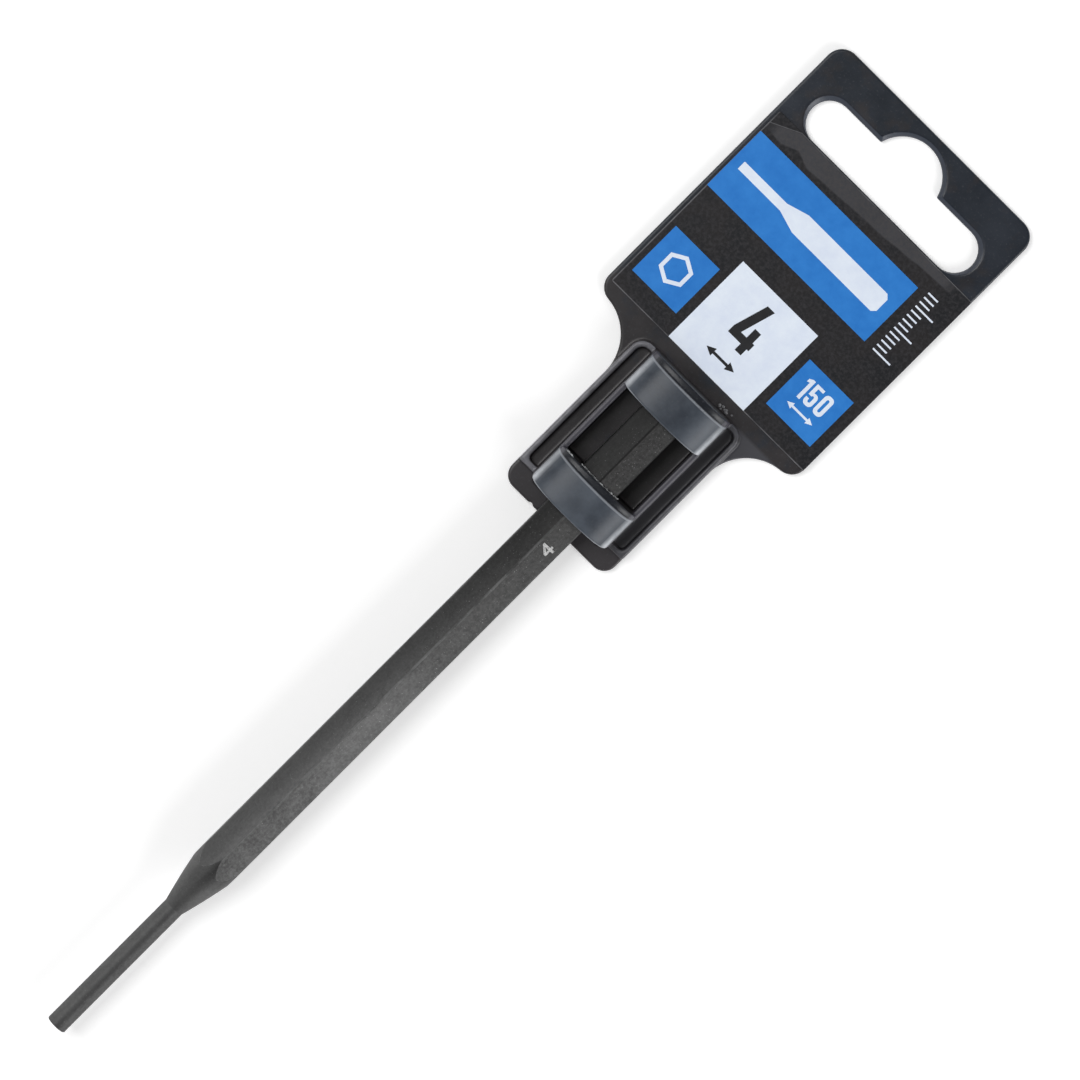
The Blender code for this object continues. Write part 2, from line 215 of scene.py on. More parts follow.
TICK_LONG_EVERY = 5
TICK_SHORT = 0.0022
TICK_LONG = 0.0040
TICK_WIDTH = 0.0003
TICK_LEFT = 0.0167
TICK_STATION = 0.1770

# Fineness
ARC_STEPS = 16
ARCH_STEPS = 48
EDGE_STEPS = 3
HEX_EDGE_STEPS = 3
OUTER_FIGURE_STEPS = 6
INNER_FIGURE_STEPS = 4
CONE_STEPS = 24
ROOT_STEPS = 6
DOME_STEPS = 6
SHARP_ANGLE_DEG = 40
MERGE_DISTANCE = 0.000001

# Places where the plastic and the steel change their tone, and where highlights, light and shade are painted
# on them
EDGE_BLUR = 0.00005
RAISED_HEIGHTS = (0.0062, 0.0088)
RIM_HIGHLIGHT_HEIGHTS = (0.0025, 0.0029)
FLOOR_FADE = 0.0005
BESIDE_WALL = 0.0002
HEADER_FADE = (0.004, 0.006)
WALL_TOP_FADE = (0.0009, 0.0003)
SHOULDER_X = (0.0078, 0.0087)
SHOULDER_BLUR = 0.0003
ABOVE_WALL_FADE = (0.0002, 0.0006)
TIP_LINE = (0.0001, 0.00022)
TIP_LINE_BLUR = 0.00008
TIP_LINE_X = (0.0030, 0.0082)
HEAD_LINE_WIDTH = 0.0003
HEAD_LINE_BLUR = 0.00006
SLOPE_FOOT_SPARE = 0.0001
SLOPE_TOP_SPARE = 0.00006
SLOPE_BLUR = 0.00003
SLOPE_PAST_LABEL = (0.0002, 0.0006)
SLOPE_BEFORE_TOP = (0.0014, 0.0008)
SLOPE_PAST_SLOT = (0.0014, 0.0018)
TOWARDS_TIP_STATIONS = (0.115, 0.045)
TOWARDS_HEAD_STATIONS = (0.117, 0.128)
HALFWAY_STATIONS = (0.060, 0.084)
HALFWAY_BLUR = 0.005
CONE_FLANK_SPARES = (0.0006, 0.0045)
CONE_FLANK_BLUR = 0.0014
LEFT_FLAT_BLUR = 0.0004
RIDGE_WEAR_AND_REFLECTION_DEPTHS = (0.00014, 0.00005)

# Stage
FLOOR_SIZE = 6.0
FLOOR_Z = -0.00005
FLOOR_LIFT = 0.30
OVERHEAD_GLOW = 0.22
LOW_SIDE_GLOW = 2.3
LOW_END_GLOW = 1.4
GLOW_TOP = 0.30
GLOW_FULL = 0.08
GLOW_SIDEWAYS = (0.3, 0.9)
CAMERA_TARGET = (0, 0.0106, 0.004)
CAMERA_DISTANCE = 1.2
CAMERA_TILT_TO_HEAD_DEG = 5.0
CAMERA_TILT_TO_LEFT_DEG = 1.7
CAMERA_TURN_DEG = 45
SENSOR_WIDTH = 36
LENS = 240
# Of a light: azimuth and elevation in degrees, distance, size and power
LEFT_LIGHT = (180, 62, 1.0, 0.6, 5.0)
RIGHT_LIGHT = (0, 31, 1.0, 0.6, 5.2)


def along(station):
    """World Y of a station."""
    return PUNCH_LOW.y + station


def arc(centre, radius, start_deg, end_deg, steps=ARC_STEPS):
    """Points of an arc, both ends included."""
    points = []
    for step in range(steps + 1):
        angle = math.radians(start_deg + (end_deg - start_deg) * step / steps)
        points.append((centre[0] + radius * math.cos(angle), centre[1] + radius * math.sin(angle)))
    return points


def rounded_rectangle(low, high, corner):
    """Corners rounded, running anticlockwise."""
    centres = (
        (high[0] - corner, low[1] + corner),
        (high[0] - corner, high[1] - corner),
        (low[0] + corner, high[1] - corner),
        (low[0] + corner, low[1] + corner),
    )
    points = []
    for quarter, centre in enumerate(centres):
        start = -90 + 90 * quarter
        points += arc(centre, corner, start, start + 90)
    return points


def mirrored(points):
    """The outline mirrored across the punch's plane, kept running the same way round."""
    return [(-x, y) for x, y in reversed(points)]


def rectangle(low, high):
    """Corners of a rectangle, anticlockwise."""
    return [(low[0], low[1]), (high[0], low[1]), (high[0], high[1]), (low[0], high[1])]


def superellipse(half_width, height, base):
    """An arch from +X over the crown to -X: flat on top and round at its shoulders."""
    points = []
    for step in range(ARCH_STEPS + 1):
        angle = math.pi * step / ARCH_STEPS
        across = abs(math.cos(angle)) ** (2 / ARCH_EXPONENT)
        up = math.sin(angle) ** (2 / ARCH_EXPONENT)
        points.append((math.copysign(half_width * across, math.cos(angle)), base + height * up))
    return points


def upright(middle_y):
    """Matrix that stands an outline drawn across the punch (x, height) at a world y."""
    return Matrix.Translation((0, middle_y, 0)) @ Matrix.Rotation(math.radians(90), 4, "X")


def lying(middle_z):
    """Matrix that lays an outline drawn in plan (x, world y) at a height."""
    return Matrix.Translation((0, 0, middle_z))


def add_piece(name, mesh):
    """An object in the scene that shows a mesh."""
    piece = bpy.data.objects.new(name, mesh)
    bpy.context.scene.collection.objects.link(piece)
    return piece


def piece_from(shape, name):
    """An object made of a bmesh, which is used up."""
    mesh = bpy.data.meshes.new(name)
    shape.to_mesh(mesh)
    shape.free()
    return add_piece(name, mesh)


def path_mesh(name, points):
    """Points joined in a row by edges."""
    mesh = bpy.data.meshes.new(name)
    mesh.from_pydata(points, [(index, index + 1) for index in range(len(points) - 1)], [])
    return mesh


def level_face(name, low, high, z):
    """One level rectangle."""
    mesh = bpy.data.meshes.new(name)
    mesh.from_pydata([(x, y, z) for x, y in rectangle(low, high)], [], [(0, 1, 2, 3)])
    return mesh


def set_plain_mesh(piece):
    """The piece's modifiers become part of its mesh."""
    bpy.context.view_layer.update()
    graph = bpy.context.evaluated_depsgraph_get()
    mesh = bpy.data.meshes.new_from_object(piece.evaluated_get(graph))
    piece.modifiers.clear()
    piece.data = mesh
    mesh.name = piece.name
    return piece


def outline_solid(name, outlines, thickness, edge, place):
    """Closed outlines given thickness about their plane, with rounded edges and the place in the mesh."""
    curve = bpy.data.curves.new(name, "CURVE")
    curve.dimensions = "2D"
    curve.fill_mode = "BOTH"
    curve.extrude = thickness / 2 - edge
    curve.bevel_depth = edge
    curve.bevel_resolution = EDGE_STEPS
    curve.offset = -edge
    for outline in outlines:
        spline = curve.splines.new("POLY")
        spline.points.add(len(outline) - 1)
        for point, (x, y) in zip(spline.points, outline):
            point.co = (x, y, 0, 1)
        spline.use_cyclic_u = True
    drawn = add_piece(name + "_outline", curve)
    bpy.context.view_layer.update()
    graph = bpy.context.evaluated_depsgraph_get()
    mesh = bpy.data.meshes.new_from_object(drawn.evaluated_get(graph))
    bpy.data.objects.remove(drawn, do_unlink=True)
    shape = bmesh.new()
    shape.from_mesh(mesh)
    bmesh.ops.remove_doubles(shape, verts=shape.verts, dist=MERGE_DISTANCE)
    bmesh.ops.transform(shape, matrix=place, verts=shape.verts)
    bmesh.ops.recalc_face_normals(shape, faces=shape.faces)
    shape.to_mesh(mesh)
    shape.free()
    mesh.name = name
    return add_piece(name, mesh)


def cut(base, cutters):
    """The cutters taken out of the base, and used up."""
    for cutter in cutters:
        step = base.modifiers.new(cutter.name, "BOOLEAN")
        step.operation = "DIFFERENCE"
        step.solver = "EXACT"
        step.object = cutter
    set_plain_mesh(base)
    for cutter in cutters:
        bpy.data.objects.remove(cutter, do_unlink=True)
    return base


# Hanger


def card_outline():
    """The card's edge in plan, anticlockwise from the flange's lower right corner."""
    turn = math.radians(SHOULDER_ANGLE_DEG)
    block_half = RIM_HIGH.x
    both_radii = (CARD_HIGH.x - block_half) / (1 - math.cos(turn))
    neck_fillet = both_radii - PANEL_CORNER
    corner_y = LABEL_LOW.y + PANEL_FOOT_SPARE
    neck_y = corner_y - both_radii * math.sin(turn)
    right = arc((block_half - FLANGE_CORNER, CARD_LOW.y + FLANGE_CORNER), FLANGE_CORNER, -90, 0)
    right += arc((block_half + neck_fillet, neck_y), neck_fillet, 180, 180 - SHOULDER_ANGLE_DEG)
    right += arc((CARD_HIGH.x - PANEL_CORNER, corner_y), PANEL_CORNER, -SHOULDER_ANGLE_DEG, 0)
    right += arc((CARD_HIGH.x - TOP_CORNER, CARD_HIGH.y - TOP_CORNER), TOP_CORNER, 0, 90)
    return right + mirrored(right)


def slot_section(grow):
    """The peg slot, anticlockwise, its ends, top and bump moved out by a length and its foot in place."""
    foot = CARD_HIGH.y - TOP_BRIDGE - SLOT_BUMP_RISE - SLOT_HEIGHT
    end_radius = (SLOT_HEIGHT + grow) / 2
    end_x = SLOT_WIDTH / 2 + grow - end_radius
    bump_radius = SLOT_BUMP_RADIUS + grow
    bump_drop = SLOT_BUMP_RADIUS - SLOT_BUMP_RISE
    bump_start = math.degrees(math.asin((bump_drop + grow) / bump_radius))
    bump_centre = (0, foot + SLOT_HEIGHT - bump_drop)
    right = arc((end_x, foot + end_radius), end_radius, -90, 90)
    bump = arc(bump_centre, bump_radius, bump_start, 180 - bump_start, 2 * ARC_STEPS)
    left = arc((-end_x, foot + end_radius), end_radius, 90, 270)
    return right + bump + left


def core_hole(band_low, band_high):
    """The opening in the card behind a band."""
    low = (-WALL_LOW.x, band_low.y)
    high = (WALL_LOW.x, band_high.y)
    return rounded_rectangle(low, high, CORE_HOLE_CORNER)


def make_slot_cutter():
    """The peg slot with the slope that runs round its ends and top at the card's face."""
    sections = (
        (0, -PLATE_TOP),
        (0, PLATE_TOP - SLOT_CHAMFER_DEPTH),
        (SLOT_CHAMFER_WIDTH, PLATE_TOP),
        (2 * SLOT_CHAMFER_WIDTH, PLATE_TOP + SLOT_CHAMFER_DEPTH),
    )
    shape = bmesh.new()
    rings = [[shape.verts.new((x, y, z)) for x, y in slot_section(grow)] for grow, z in sections]
    shape.faces.new(rings[0])
    shape.faces.new(rings[-1])
    for lower, upper in zip(rings, rings[1:]):
        for here in range(len(lower)):
            after = (here + 1) % len(lower)
            shape.faces.new((lower[here], lower[after], upper[after], upper[here]))
    bmesh.ops.triangulate(shape, faces=shape.faces)
    bmesh.ops.recalc_face_normals(shape, faces=shape.faces)
    return piece_from(shape, "slot")


def make_prism(name, place, sides, radius, depth):
    """An upright prism with many sides or six, moved to its place, for a cutter."""
    shape = bmesh.new()
    bmesh.ops.create_cone(
        shape, cap_ends=True, segments=sides, radius1=radius, radius2=radius, depth=depth, matrix=place
    )
    return piece_from(shape, name)


def make_bore():
    """The punch's hexagonal way through the clip, a ridge up."""
    start = CARD_LOW.y - PLATE_TOP
    end = STOP_LOW.y - BORE_END_SPARE
    along_punch = Matrix.Rotation(math.radians(-90), 4, "X")
    place = Matrix.Translation((0, (start + end) / 2, PUNCH_AXIS_Z)) @ along_punch
    return make_prism("bore", place, HEX_SIDES, HOLE_CORNER_RADIUS, end - start)


def make_plate():
    """The card with its peg slot, the punch's groove, core holes, the gate's notch and ejector marks."""
    outlines = [card_outline()]
    for low, high in ((LOWER_LOW, LOWER_HIGH), (UPPER_LOW, UPPER_HIGH)):
        outlines.append(list(reversed(core_hole(low, high))))
    plate = outline_solid("hanger_moulding", outlines, PLATE_TOP, CARD_EDGE, lying(PLATE_TOP / 2))
    gate_place = Matrix.Translation((GATE_X, CARD_LOW.y - GATE_RADIUS + GATE_DEPTH, PLATE_TOP / 2))
    gate = make_prism("gate", gate_place, 2 * ARC_STEPS, GATE_RADIUS, 2 * PLATE_TOP)
    cutters = [make_slot_cutter(), make_bore(), gate]
    for side in (-1, 1):
        for y in (LABEL_LOW.y + EJECTOR_INSET, LABEL_HIGH.y - EJECTOR_INSET):
            place = Matrix.Translation((side * (CARD_HIGH.x - EJECTOR_INSET), y, 0))
            cutters.append(make_prism("ejector", place, 2 * ARC_STEPS, EJECTOR_RADIUS, 2 * EJECTOR_DEPTH))
    return cut(plate, cutters)


def rim_outline():
    """The right-hand rim in plan, anticlockwise: a wall whose foot and round top turn in to the cradle."""
    outer = RIM_HIGH.x
    top_centre = (outer - RIM_CORNER, RIM_HIGH.y - RIM_CORNER)
    foot_centre = (outer - RIM_FOOT_CORNER, RIM_LOW.y + RIM_FOOT_CORNER)
    foot_fillet_centre = (outer - RIM_WIDTH - RIM_FOOT_FILLET, RIM_LOW.y + RIM_WIDTH + RIM_FOOT_FILLET)
    points = [(WALL_MIDDLE_X, RIM_LOW.y)]
    points += arc(foot_centre, RIM_FOOT_CORNER, -90, 0)
    points += arc(top_centre, RIM_CORNER, 0, 90)
    points += [(WALL_MIDDLE_X, RIM_HIGH.y), (WALL_MIDDLE_X, RIM_HIGH.y - RIM_WIDTH)]
    points += arc(top_centre, RIM_CORNER - RIM_WIDTH, 90, 0)
    points += arc(foot_fillet_centre, RIM_FOOT_FILLET, 0, -90)
    points.append((WALL_MIDDLE_X, RIM_LOW.y + RIM_WIDTH))
    return points


def make_rims():
    """The rims at both sides of the clip."""
    place = lying((CLIP_FOOT_Z + RIM_HIGH.z) / 2)
    outline = rim_outline()
    return [
        outline_solid(name, [shape], RIM_HIGH.z - CLIP_FOOT_Z, RIM_EDGE, place)
        for name, shape in (("right_rim_ridge", outline), ("left_rim_ridge", mirrored(outline)))
    ]


def make_cradle_walls():
    """The walls beside the punch, from the leaning lower band's foot to the stop."""
    outline = rounded_rectangle((WALL_LOW.x, CLIP_FOOT_Z), (WALL_HIGH.x, SPRING_Z), WALL_EDGE)
    start = max(WALL_LOW.y, LOWER_LOW.y + LOWER_LEAN[0])
    place = upright((start + WALL_HIGH.y) / 2)
    return [
        outline_solid(name, [shape], WALL_HIGH.y - start, WALL_EDGE, place)
        for name, shape in (("right_wall", outline), ("left_wall", mirrored(outline)))
    ]


def lean_band(band, lean):
    """Move an arch towards the head, its foot more than its crown, so that its ends look curved."""
    at_foot, at_crown = lean
    for vertex in band.data.vertices:
        share = min(max((vertex.co.z - SPRING_Z) / BAND_RISE, 0.0), 1.0)
        vertex.co.y += at_foot + (at_crown - at_foot) * share
    return band


def make_bands():
    """Two arched bands whose legs go down inside the cradle's walls."""
    foot = SPRING_Z - BAND_LEG
    outlines = []
    for half_width, rise in (
        (WALL_HIGH.x - BAND_SETBACK, BAND_RISE),
        (WALL_LOW.x + BAND_SETBACK, BAND_RISE - BAND_THICKNESS),
    ):
        arch = superellipse(half_width, rise, SPRING_Z)
        outlines.append([(half_width, foot)] + arch + [(-half_width, foot)])
    outline = outlines[0] + list(reversed(outlines[1]))
    bands = []
    for name, low, high, lean in (
        ("lower_arch", LOWER_LOW, LOWER_HIGH, LOWER_LEAN),
        ("upper_arch", UPPER_LOW, UPPER_HIGH, UPPER_LEAN),
    ):
        band = outline_solid(name, [outline], high.y - low.y, BAND_EDGE, upright((low.y + high.y) / 2))
        bands.append(lean_band(band, lean))
    return bands


def cross_wall_outline():
    """A wall across the cradle seen from its end: an arch above, and sides inside the cradle's walls."""
    right = [(WALL_MIDDLE_X, CLIP_FOOT_Z), (WALL_MIDDLE_X, LIP_LOW.z + FOOT_SINK)]
    return right + superellipse(CROSS_WALL_HALF, LIP_RISE, SPRING_Z) + mirrored(right)


def punch_hole():
    """The punch's hole, open at a wall's foot, left to right: upright sides and a roof over the ridge."""
    left = [(-HOLE_SIDE_X, CLIP_FOOT_Z), (-HOLE_SIDE_X, HOLE_EAVES_Z)]
    return left + [(0, HOLE_RIDGE_Z)] + mirrored(left)


def make_cross_walls():
    """The guide lip, with the punch's hole in it, and the stop behind the punch's head."""
    walls = (
        ("lip", LIP_LOW.y, LIP_HIGH.y + LIP_FACE_SHIFT, cross_wall_outline() + punch_hole()),
        ("stop", STOP_LOW.y, STOP_HIGH.y, cross_wall_outline()),
    )
    return [
        outline_solid(name, [outline], end - start, CROSS_WALL_EDGE, upright((start + end) / 2))
        for name, start, end, outline in walls
    ]


def join(base, others):
    """The others' meshes become part of the base's."""
    shape = bmesh.new()
    for piece in [base] + others:
        shape.from_mesh(piece.data)
    shape.to_mesh(base.data)
    shape.free()
    for other in others:
        bpy.data.objects.remove(other, do_unlink=True)
    return base


def make_hanger_moulding(material):
    """The hanger as one moulding, with small fillets wherever its walls meet."""
    moulding = join(make_plate(), make_rims() + make_cradle_walls() + make_bands() + make_cross_walls())
    grain = moulding.modifiers.new("grain", "REMESH")
    grain.mode = "VOXEL"
    grain.voxel_size = MOULDING_GRAIN
    soften = moulding.modifiers.new("soften", "SMOOTH")
    soften.iterations = MOULDING_SMOOTHING
    thin = moulding.modifiers.new("thin", "DECIMATE")
    thin.decimate_type = "COLLAPSE"
    thin.ratio = MOULDING_KEPT
    set_plain_mesh(moulding)
    moulding.data.shade_smooth()
    moulding.data.materials.clear()
    moulding.data.materials.append(material)
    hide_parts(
        "hanger_card", "left_rim", "right_rim", "left_cradle_wall", "right_cradle_wall",
        "lower_band", "upper_band", "guide_lip", "end_stop",
    )
    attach(moulding, "hanger")
    return moulding


# Node groups


def add_node(tree, kind, constants=None, **properties):
    """A node with these properties, and with constants on the inputs that have these names or numbers."""
    node = tree.nodes.new(kind)
    for name, value in properties.items():
        setattr(node, name, value)
    for name, value in (constants or {}).items():
        node.inputs[name].default_value = value
    return node


def in_use(sockets, name):
    """The socket of this name or number that the node's settings leave in use."""
    return next(
        socket for number, socket in enumerate(sockets) if socket.enabled and name in (number, socket.name)
    )


def wire(*wires):
    """Links, each from a node and its output to a node and its input."""
    for source, output, target, entry in wires:
        target.id_data.links.new(in_use(source.outputs, output), in_use(target.inputs, entry))


def new_geometry_tree(name, kinds):
    """A node group that takes and gives a geometry, its inputs' identifiers and its two end nodes."""
    tree = bpy.data.node_groups.new(name, "GeometryNodeTree")
    tree.interface.new_socket("Geometry", in_out="OUTPUT", socket_type="NodeSocketGeometry")
    tree.interface.new_socket("Geometry", in_out="INPUT", socket_type="NodeSocketGeometry")
    identifiers = {
        label: tree.interface.new_socket(label, in_out="INPUT", socket_type="NodeSocket" + kind).identifier
        for label, kind in {**kinds, "Material": "Material"}.items()
    }
    return tree, identifiers, tree.nodes.new("NodeGroupInput"), tree.nodes.new("NodeGroupOutput")


def finish_tree(tree, last, result, inputs, output):
    """Realize Instances and Set Material, as the last two steps of a node group."""
    realize = add_node(tree, "GeometryNodeRealizeInstances")
    paint = add_node(tree, "GeometryNodeSetMaterial")
    wire(
        (last, result, realize, "Geometry"),
        (realize, "Geometry", paint, "Geometry"),
        (inputs, "Material", paint, "Material"),
        (paint, "Geometry", output, "Geometry"),
    )


def run_nodes(piece, group, values):
    """The piece's mesh becomes what a node group makes of it with these values on its named inputs."""
    tree, identifiers = group
    step = piece.modifiers.new(tree.name, "NODES")
    step.node_group = tree
    for name, value in values.items():
        step[identifiers[name]] = value
    return set_plain_mesh(piece)


# Flash on the hanger


def lip_hole_edge():
    """The hole's edge that the window shows: over the ridge and a little way down both sides."""
    right = [(HOLE_SIDE_X, HOLE_EAVES_Z - FLASH_DROP), (HOLE_SIDE_X, HOLE_EAVES_Z)]
    return right + [(0, HOLE_RIDGE_Z), (-HOLE_SIDE_X, HOLE_EAVES_Z)]


def lip_crown_edge():
    """A short stretch of the lip's own arch, at the left of the window."""
    points = []
    for x in FLASH_CRUMB_X:
        share = (1 - (abs(x) / CROSS_WALL_HALF) ** ARCH_EXPONENT) ** (1 / ARCH_EXPONENT)
        points.append((x, SPRING_Z + LIP_RISE * share))
    return points


def make_flash_tree():
    """Geometry Nodes for a ragged thread of flash along an edge."""
    kinds = {"Count": "Int", "Stray": "Float", "Thinnest": "Float", "Thickest": "Float", "Seed": "Int"}
    tree, identifiers, inputs, output = new_geometry_tree("ragged_flash", kinds)
    to_curve = add_node(tree, "GeometryNodeMeshToCurve")
    resample = add_node(tree, "GeometryNodeResampleCurve")
    shift = add_node(tree, "GeometryNodeSetPosition")
    strays = add_node(tree, "FunctionNodeRandomValue", data_type="FLOAT_VECTOR")
    widths = add_node(tree, "FunctionNodeRandomValue")
    opposite = add_node(tree, "ShaderNodeMath", {1: -1.0}, operation="MULTIPLY")
    profile = add_node(tree, "GeometryNodeCurvePrimitiveCircle", {"Resolution": FLASH_SIDES, "Radius": 1.0})
    sweep = add_node(tree, "GeometryNodeCurveToMesh", {"Fill Caps": True})
    wire(
        (inputs, "Geometry", to_curve, "Mesh"),
        (to_curve, "Curve", resample, "Curve"),
        (inputs, "Count", resample, "Count"),
        (resample, "Curve", shift, "Geometry"),
        (inputs, "Stray", opposite, 0),
        (opposite, "Value", strays, "Min"),
        (inputs, "Stray", strays, "Max"),
        (inputs, "Seed", strays, "Seed"),
        (strays, "Value", shift, "Offset"),
        (shift, "Geometry", sweep, "Curve"),
        (profile, "Curve", sweep, "Profile Curve"),
        (inputs, "Thinnest", widths, "Min"),
        (inputs, "Thickest", widths, "Max"),
        (inputs, "Seed", widths, "Seed"),
        (widths, "Value", sweep, "Scale"),
    )
    finish_tree(tree, sweep, "Mesh", inputs, output)
    return tree, identifiers


def make_lip_flash(name, edge, count, material):
    """Flash left where the mould's halves met along an edge of the guide lip."""
    y = LIP_HIGH.y + LIP_FACE_SHIFT + FLASH_PROUD
    flash = add_piece(name, path_mesh(name + "_path", [(x, y, z) for x, z in edge]))
    values = {
        "Count": count,
        "Stray": FLASH_STRAY,
        "Thinnest": FLASH_THINNEST,
        "Thickest": FLASH_THICKEST,
        "Seed": FLASH_SEED,
        "Material": material,
    }
    run_nodes(flash, make_flash_tree(), values)
    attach(flash, "hanger")
    return flash


def make_speck_tree():
    """Geometry Nodes for small flat grains scattered over a surface."""
    kinds = {"Density": "Float", "Smallest": "Float", "Largest": "Float", "Seed": "Int"}
    tree, identifiers, inputs, output = new_geometry_tree("scattered_grains", kinds)
    scatter = add_node(tree, "GeometryNodeDistributePointsOnFaces")
    grain = add_node(tree, "GeometryNodeMeshIcoSphere", {"Radius": 1.0, "Subdivisions": 2})
    sizes = add_node(tree, "FunctionNodeRandomValue")
    place = add_node(tree, "GeometryNodeInstanceOnPoints")
    wire(
        (inputs, "Geometry", scatter, "Mesh"),
        (inputs, "Density", scatter, "Density"),
        (inputs, "Seed", scatter, "Seed"),
        (scatter, "Points", place, "Points"),
        (grain, "Mesh", place, "Instance"),
        (inputs, "Smallest", sizes, "Min"),
        (inputs, "Largest", sizes, "Max"),
        (inputs, "Seed", sizes, "Seed"),
        (sizes, "Value", place, "Scale"),
    )
    finish_tree(tree, place, "Instances", inputs, output)
    return tree, identifiers


def make_gate_specks(material):
    """Pale crumbs of flash on the card beside the stop's right-hand end."""
    low = (SPECK_X[0], along(SPECK_STATIONS[0]))
    high = (SPECK_X[1], along(SPECK_STATIONS[1]))
    specks = add_piece("gate_specks", level_face("gate_specks_patch", low, high, PLATE_TOP))
    values = {
        "Density": SPECK_COUNT / ((high[0] - low[0]) * (high[1] - low[1])),
        "Smallest": SPECK_SMALLEST,
        "Largest": SPECK_LARGEST,
        "Seed": SPECK_SEED,
        "Material": material,
    }
    run_nodes(specks, make_speck_tree(), values)
    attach(specks, "hanger")
    return specks


# Punch


def turned_radii():
    """Station and radius of the turned shape, from the tip's flat end to the head's flat centre."""
    outside = HEX_CORNER_RADIUS + PUNCH_CLEARANCE
    rise = HEX_CORNER_RADIUS - PIN_RADIUS
    bulge_slope = 4 * CONE_BULGE / CONE_LENGTH
    end_slope = rise / CONE_LENGTH - bulge_slope
    root_turn = math.atan(rise / CONE_LENGTH + bulge_slope)
    root_station = PIN_LENGTH - PIN_ROOT_RADIUS * math.tan(root_turn / 2)
    rings = [(0, PIN_RADIUS - TIP_EDGE_BREAK), (TIP_EDGE_BREAK, PIN_RADIUS)]
    for step in range(ROOT_STEPS + 1):
        angle = root_turn * step / ROOT_STEPS
        station = root_station + PIN_ROOT_RADIUS * math.sin(angle)
        rings.append((station, PIN_RADIUS + PIN_ROOT_RADIUS * (1 - math.cos(angle))))
    for step in range(1, CONE_STEPS + 1):
        share = step / CONE_STEPS
        bulge = bulge_slope * CONE_LENGTH * share * (1 - share)
        rings.append((PIN_LENGTH + CONE_LENGTH * share, PIN_RADIUS + rise * share + bulge))
    rings.append((PIN_LENGTH + CONE_LENGTH + PUNCH_CLEARANCE / end_slope, outside))
    crown_slope = HEAD_CROWN_LENGTH / (HEX_CORNER_RADIUS - HEAD_FACE_RADIUS)
    crown_drop = HEAD_DOME_HEIGHT + (outside - HEAD_FACE_RADIUS) * crown_slope
    rings.append((PUNCH_LENGTH - crown_drop, outside))
    for step in range(DOME_STEPS, -1, -1):
        share = step / DOME_STEPS
        radius = HEAD_FLAT_RADIUS + (HEAD_FACE_RADIUS - HEAD_FLAT_RADIUS) * share
        rings.append((PUNCH_LENGTH - HEAD_DOME_HEIGHT * share**2, radius))
    return rings


def make_bar_tree():
    """Geometry Nodes for a bar: what a shape turned about a line and a hexagon with rounded edges share."""
    kinds = {
        "Corner Radius": "Float", "Edge Radius": "Float", "Sides": "Int", "Start": "Vector", "End": "Vector",
    }
    tree, identifiers, inputs, output = new_geometry_tree("turned_hexagonal_bar", kinds)
    to_curve = add_node(tree, "GeometryNodeMeshToCurve")
    radius = add_node(tree, "GeometryNodeInputNamedAttribute", {"Name": TURNED_ATTRIBUTE}, data_type="FLOAT")
    ring = add_node(tree, "GeometryNodeCurvePrimitiveCircle", {"Radius": 1.0})
    turned = add_node(tree, "GeometryNodeCurveToMesh", {"Fill Caps": True})
    wire(
        (inputs, "Geometry", to_curve, "Mesh"),
        (to_curve, "Curve", turned, "Curve"),
        (inputs, "Sides", ring, "Resolution"),
        (ring, "Curve", turned, "Profile Curve"),
        (radius, "Attribute", turned, "Scale"),
    )
    hexagon = add_node(tree, "GeometryNodeCurvePrimitiveCircle", {"Resolution": HEX_SIDES})
    fillet = add_node(tree, "GeometryNodeFilletCurve", {"Count": HEX_EDGE_STEPS}, mode="POLY")
    ridge_up = add_node(tree, "GeometryNodeTransform", {"Rotation": (0, 0, HEX_HALF_SIDE)})
    axis = add_node(tree, "GeometryNodeCurvePrimitiveLine")
    bar = add_node(tree, "GeometryNodeCurveToMesh", {"Fill Caps": True})
    wire(
        (inputs, "Corner Radius", hexagon, "Radius"),
        (hexagon, "Curve", fillet, "Curve"),
        (inputs, "Edge Radius", fillet, "Radius"),
        (fillet, "Curve", ridge_up, "Geometry"),
        (inputs, "Start", axis, "Start"),
        (inputs, "End", axis, "End"),
        (axis, "Curve", bar, "Curve"),
        (ridge_up, "Geometry", bar, "Profile Curve"),
    )
    shared = add_node(tree, "GeometryNodeMeshBoolean", operation="INTERSECT", solver="EXACT")
    weight = {"Name": "bevel_weight_edge"}
    worn = add_node(tree, "GeometryNodeStoreNamedAttribute", weight, data_type="FLOAT", domain="EDGE")
    wire(
        (bar, "Mesh", shared, "Mesh"),
        (turned, "Mesh", shared, "Mesh"),
        (shared, "Mesh", worn, "Geometry"),
        (shared, "Intersecting Edges", worn, "Value"),
    )
    finish_tree(tree, worn, "Geometry", inputs, output)
    return tree, identifiers


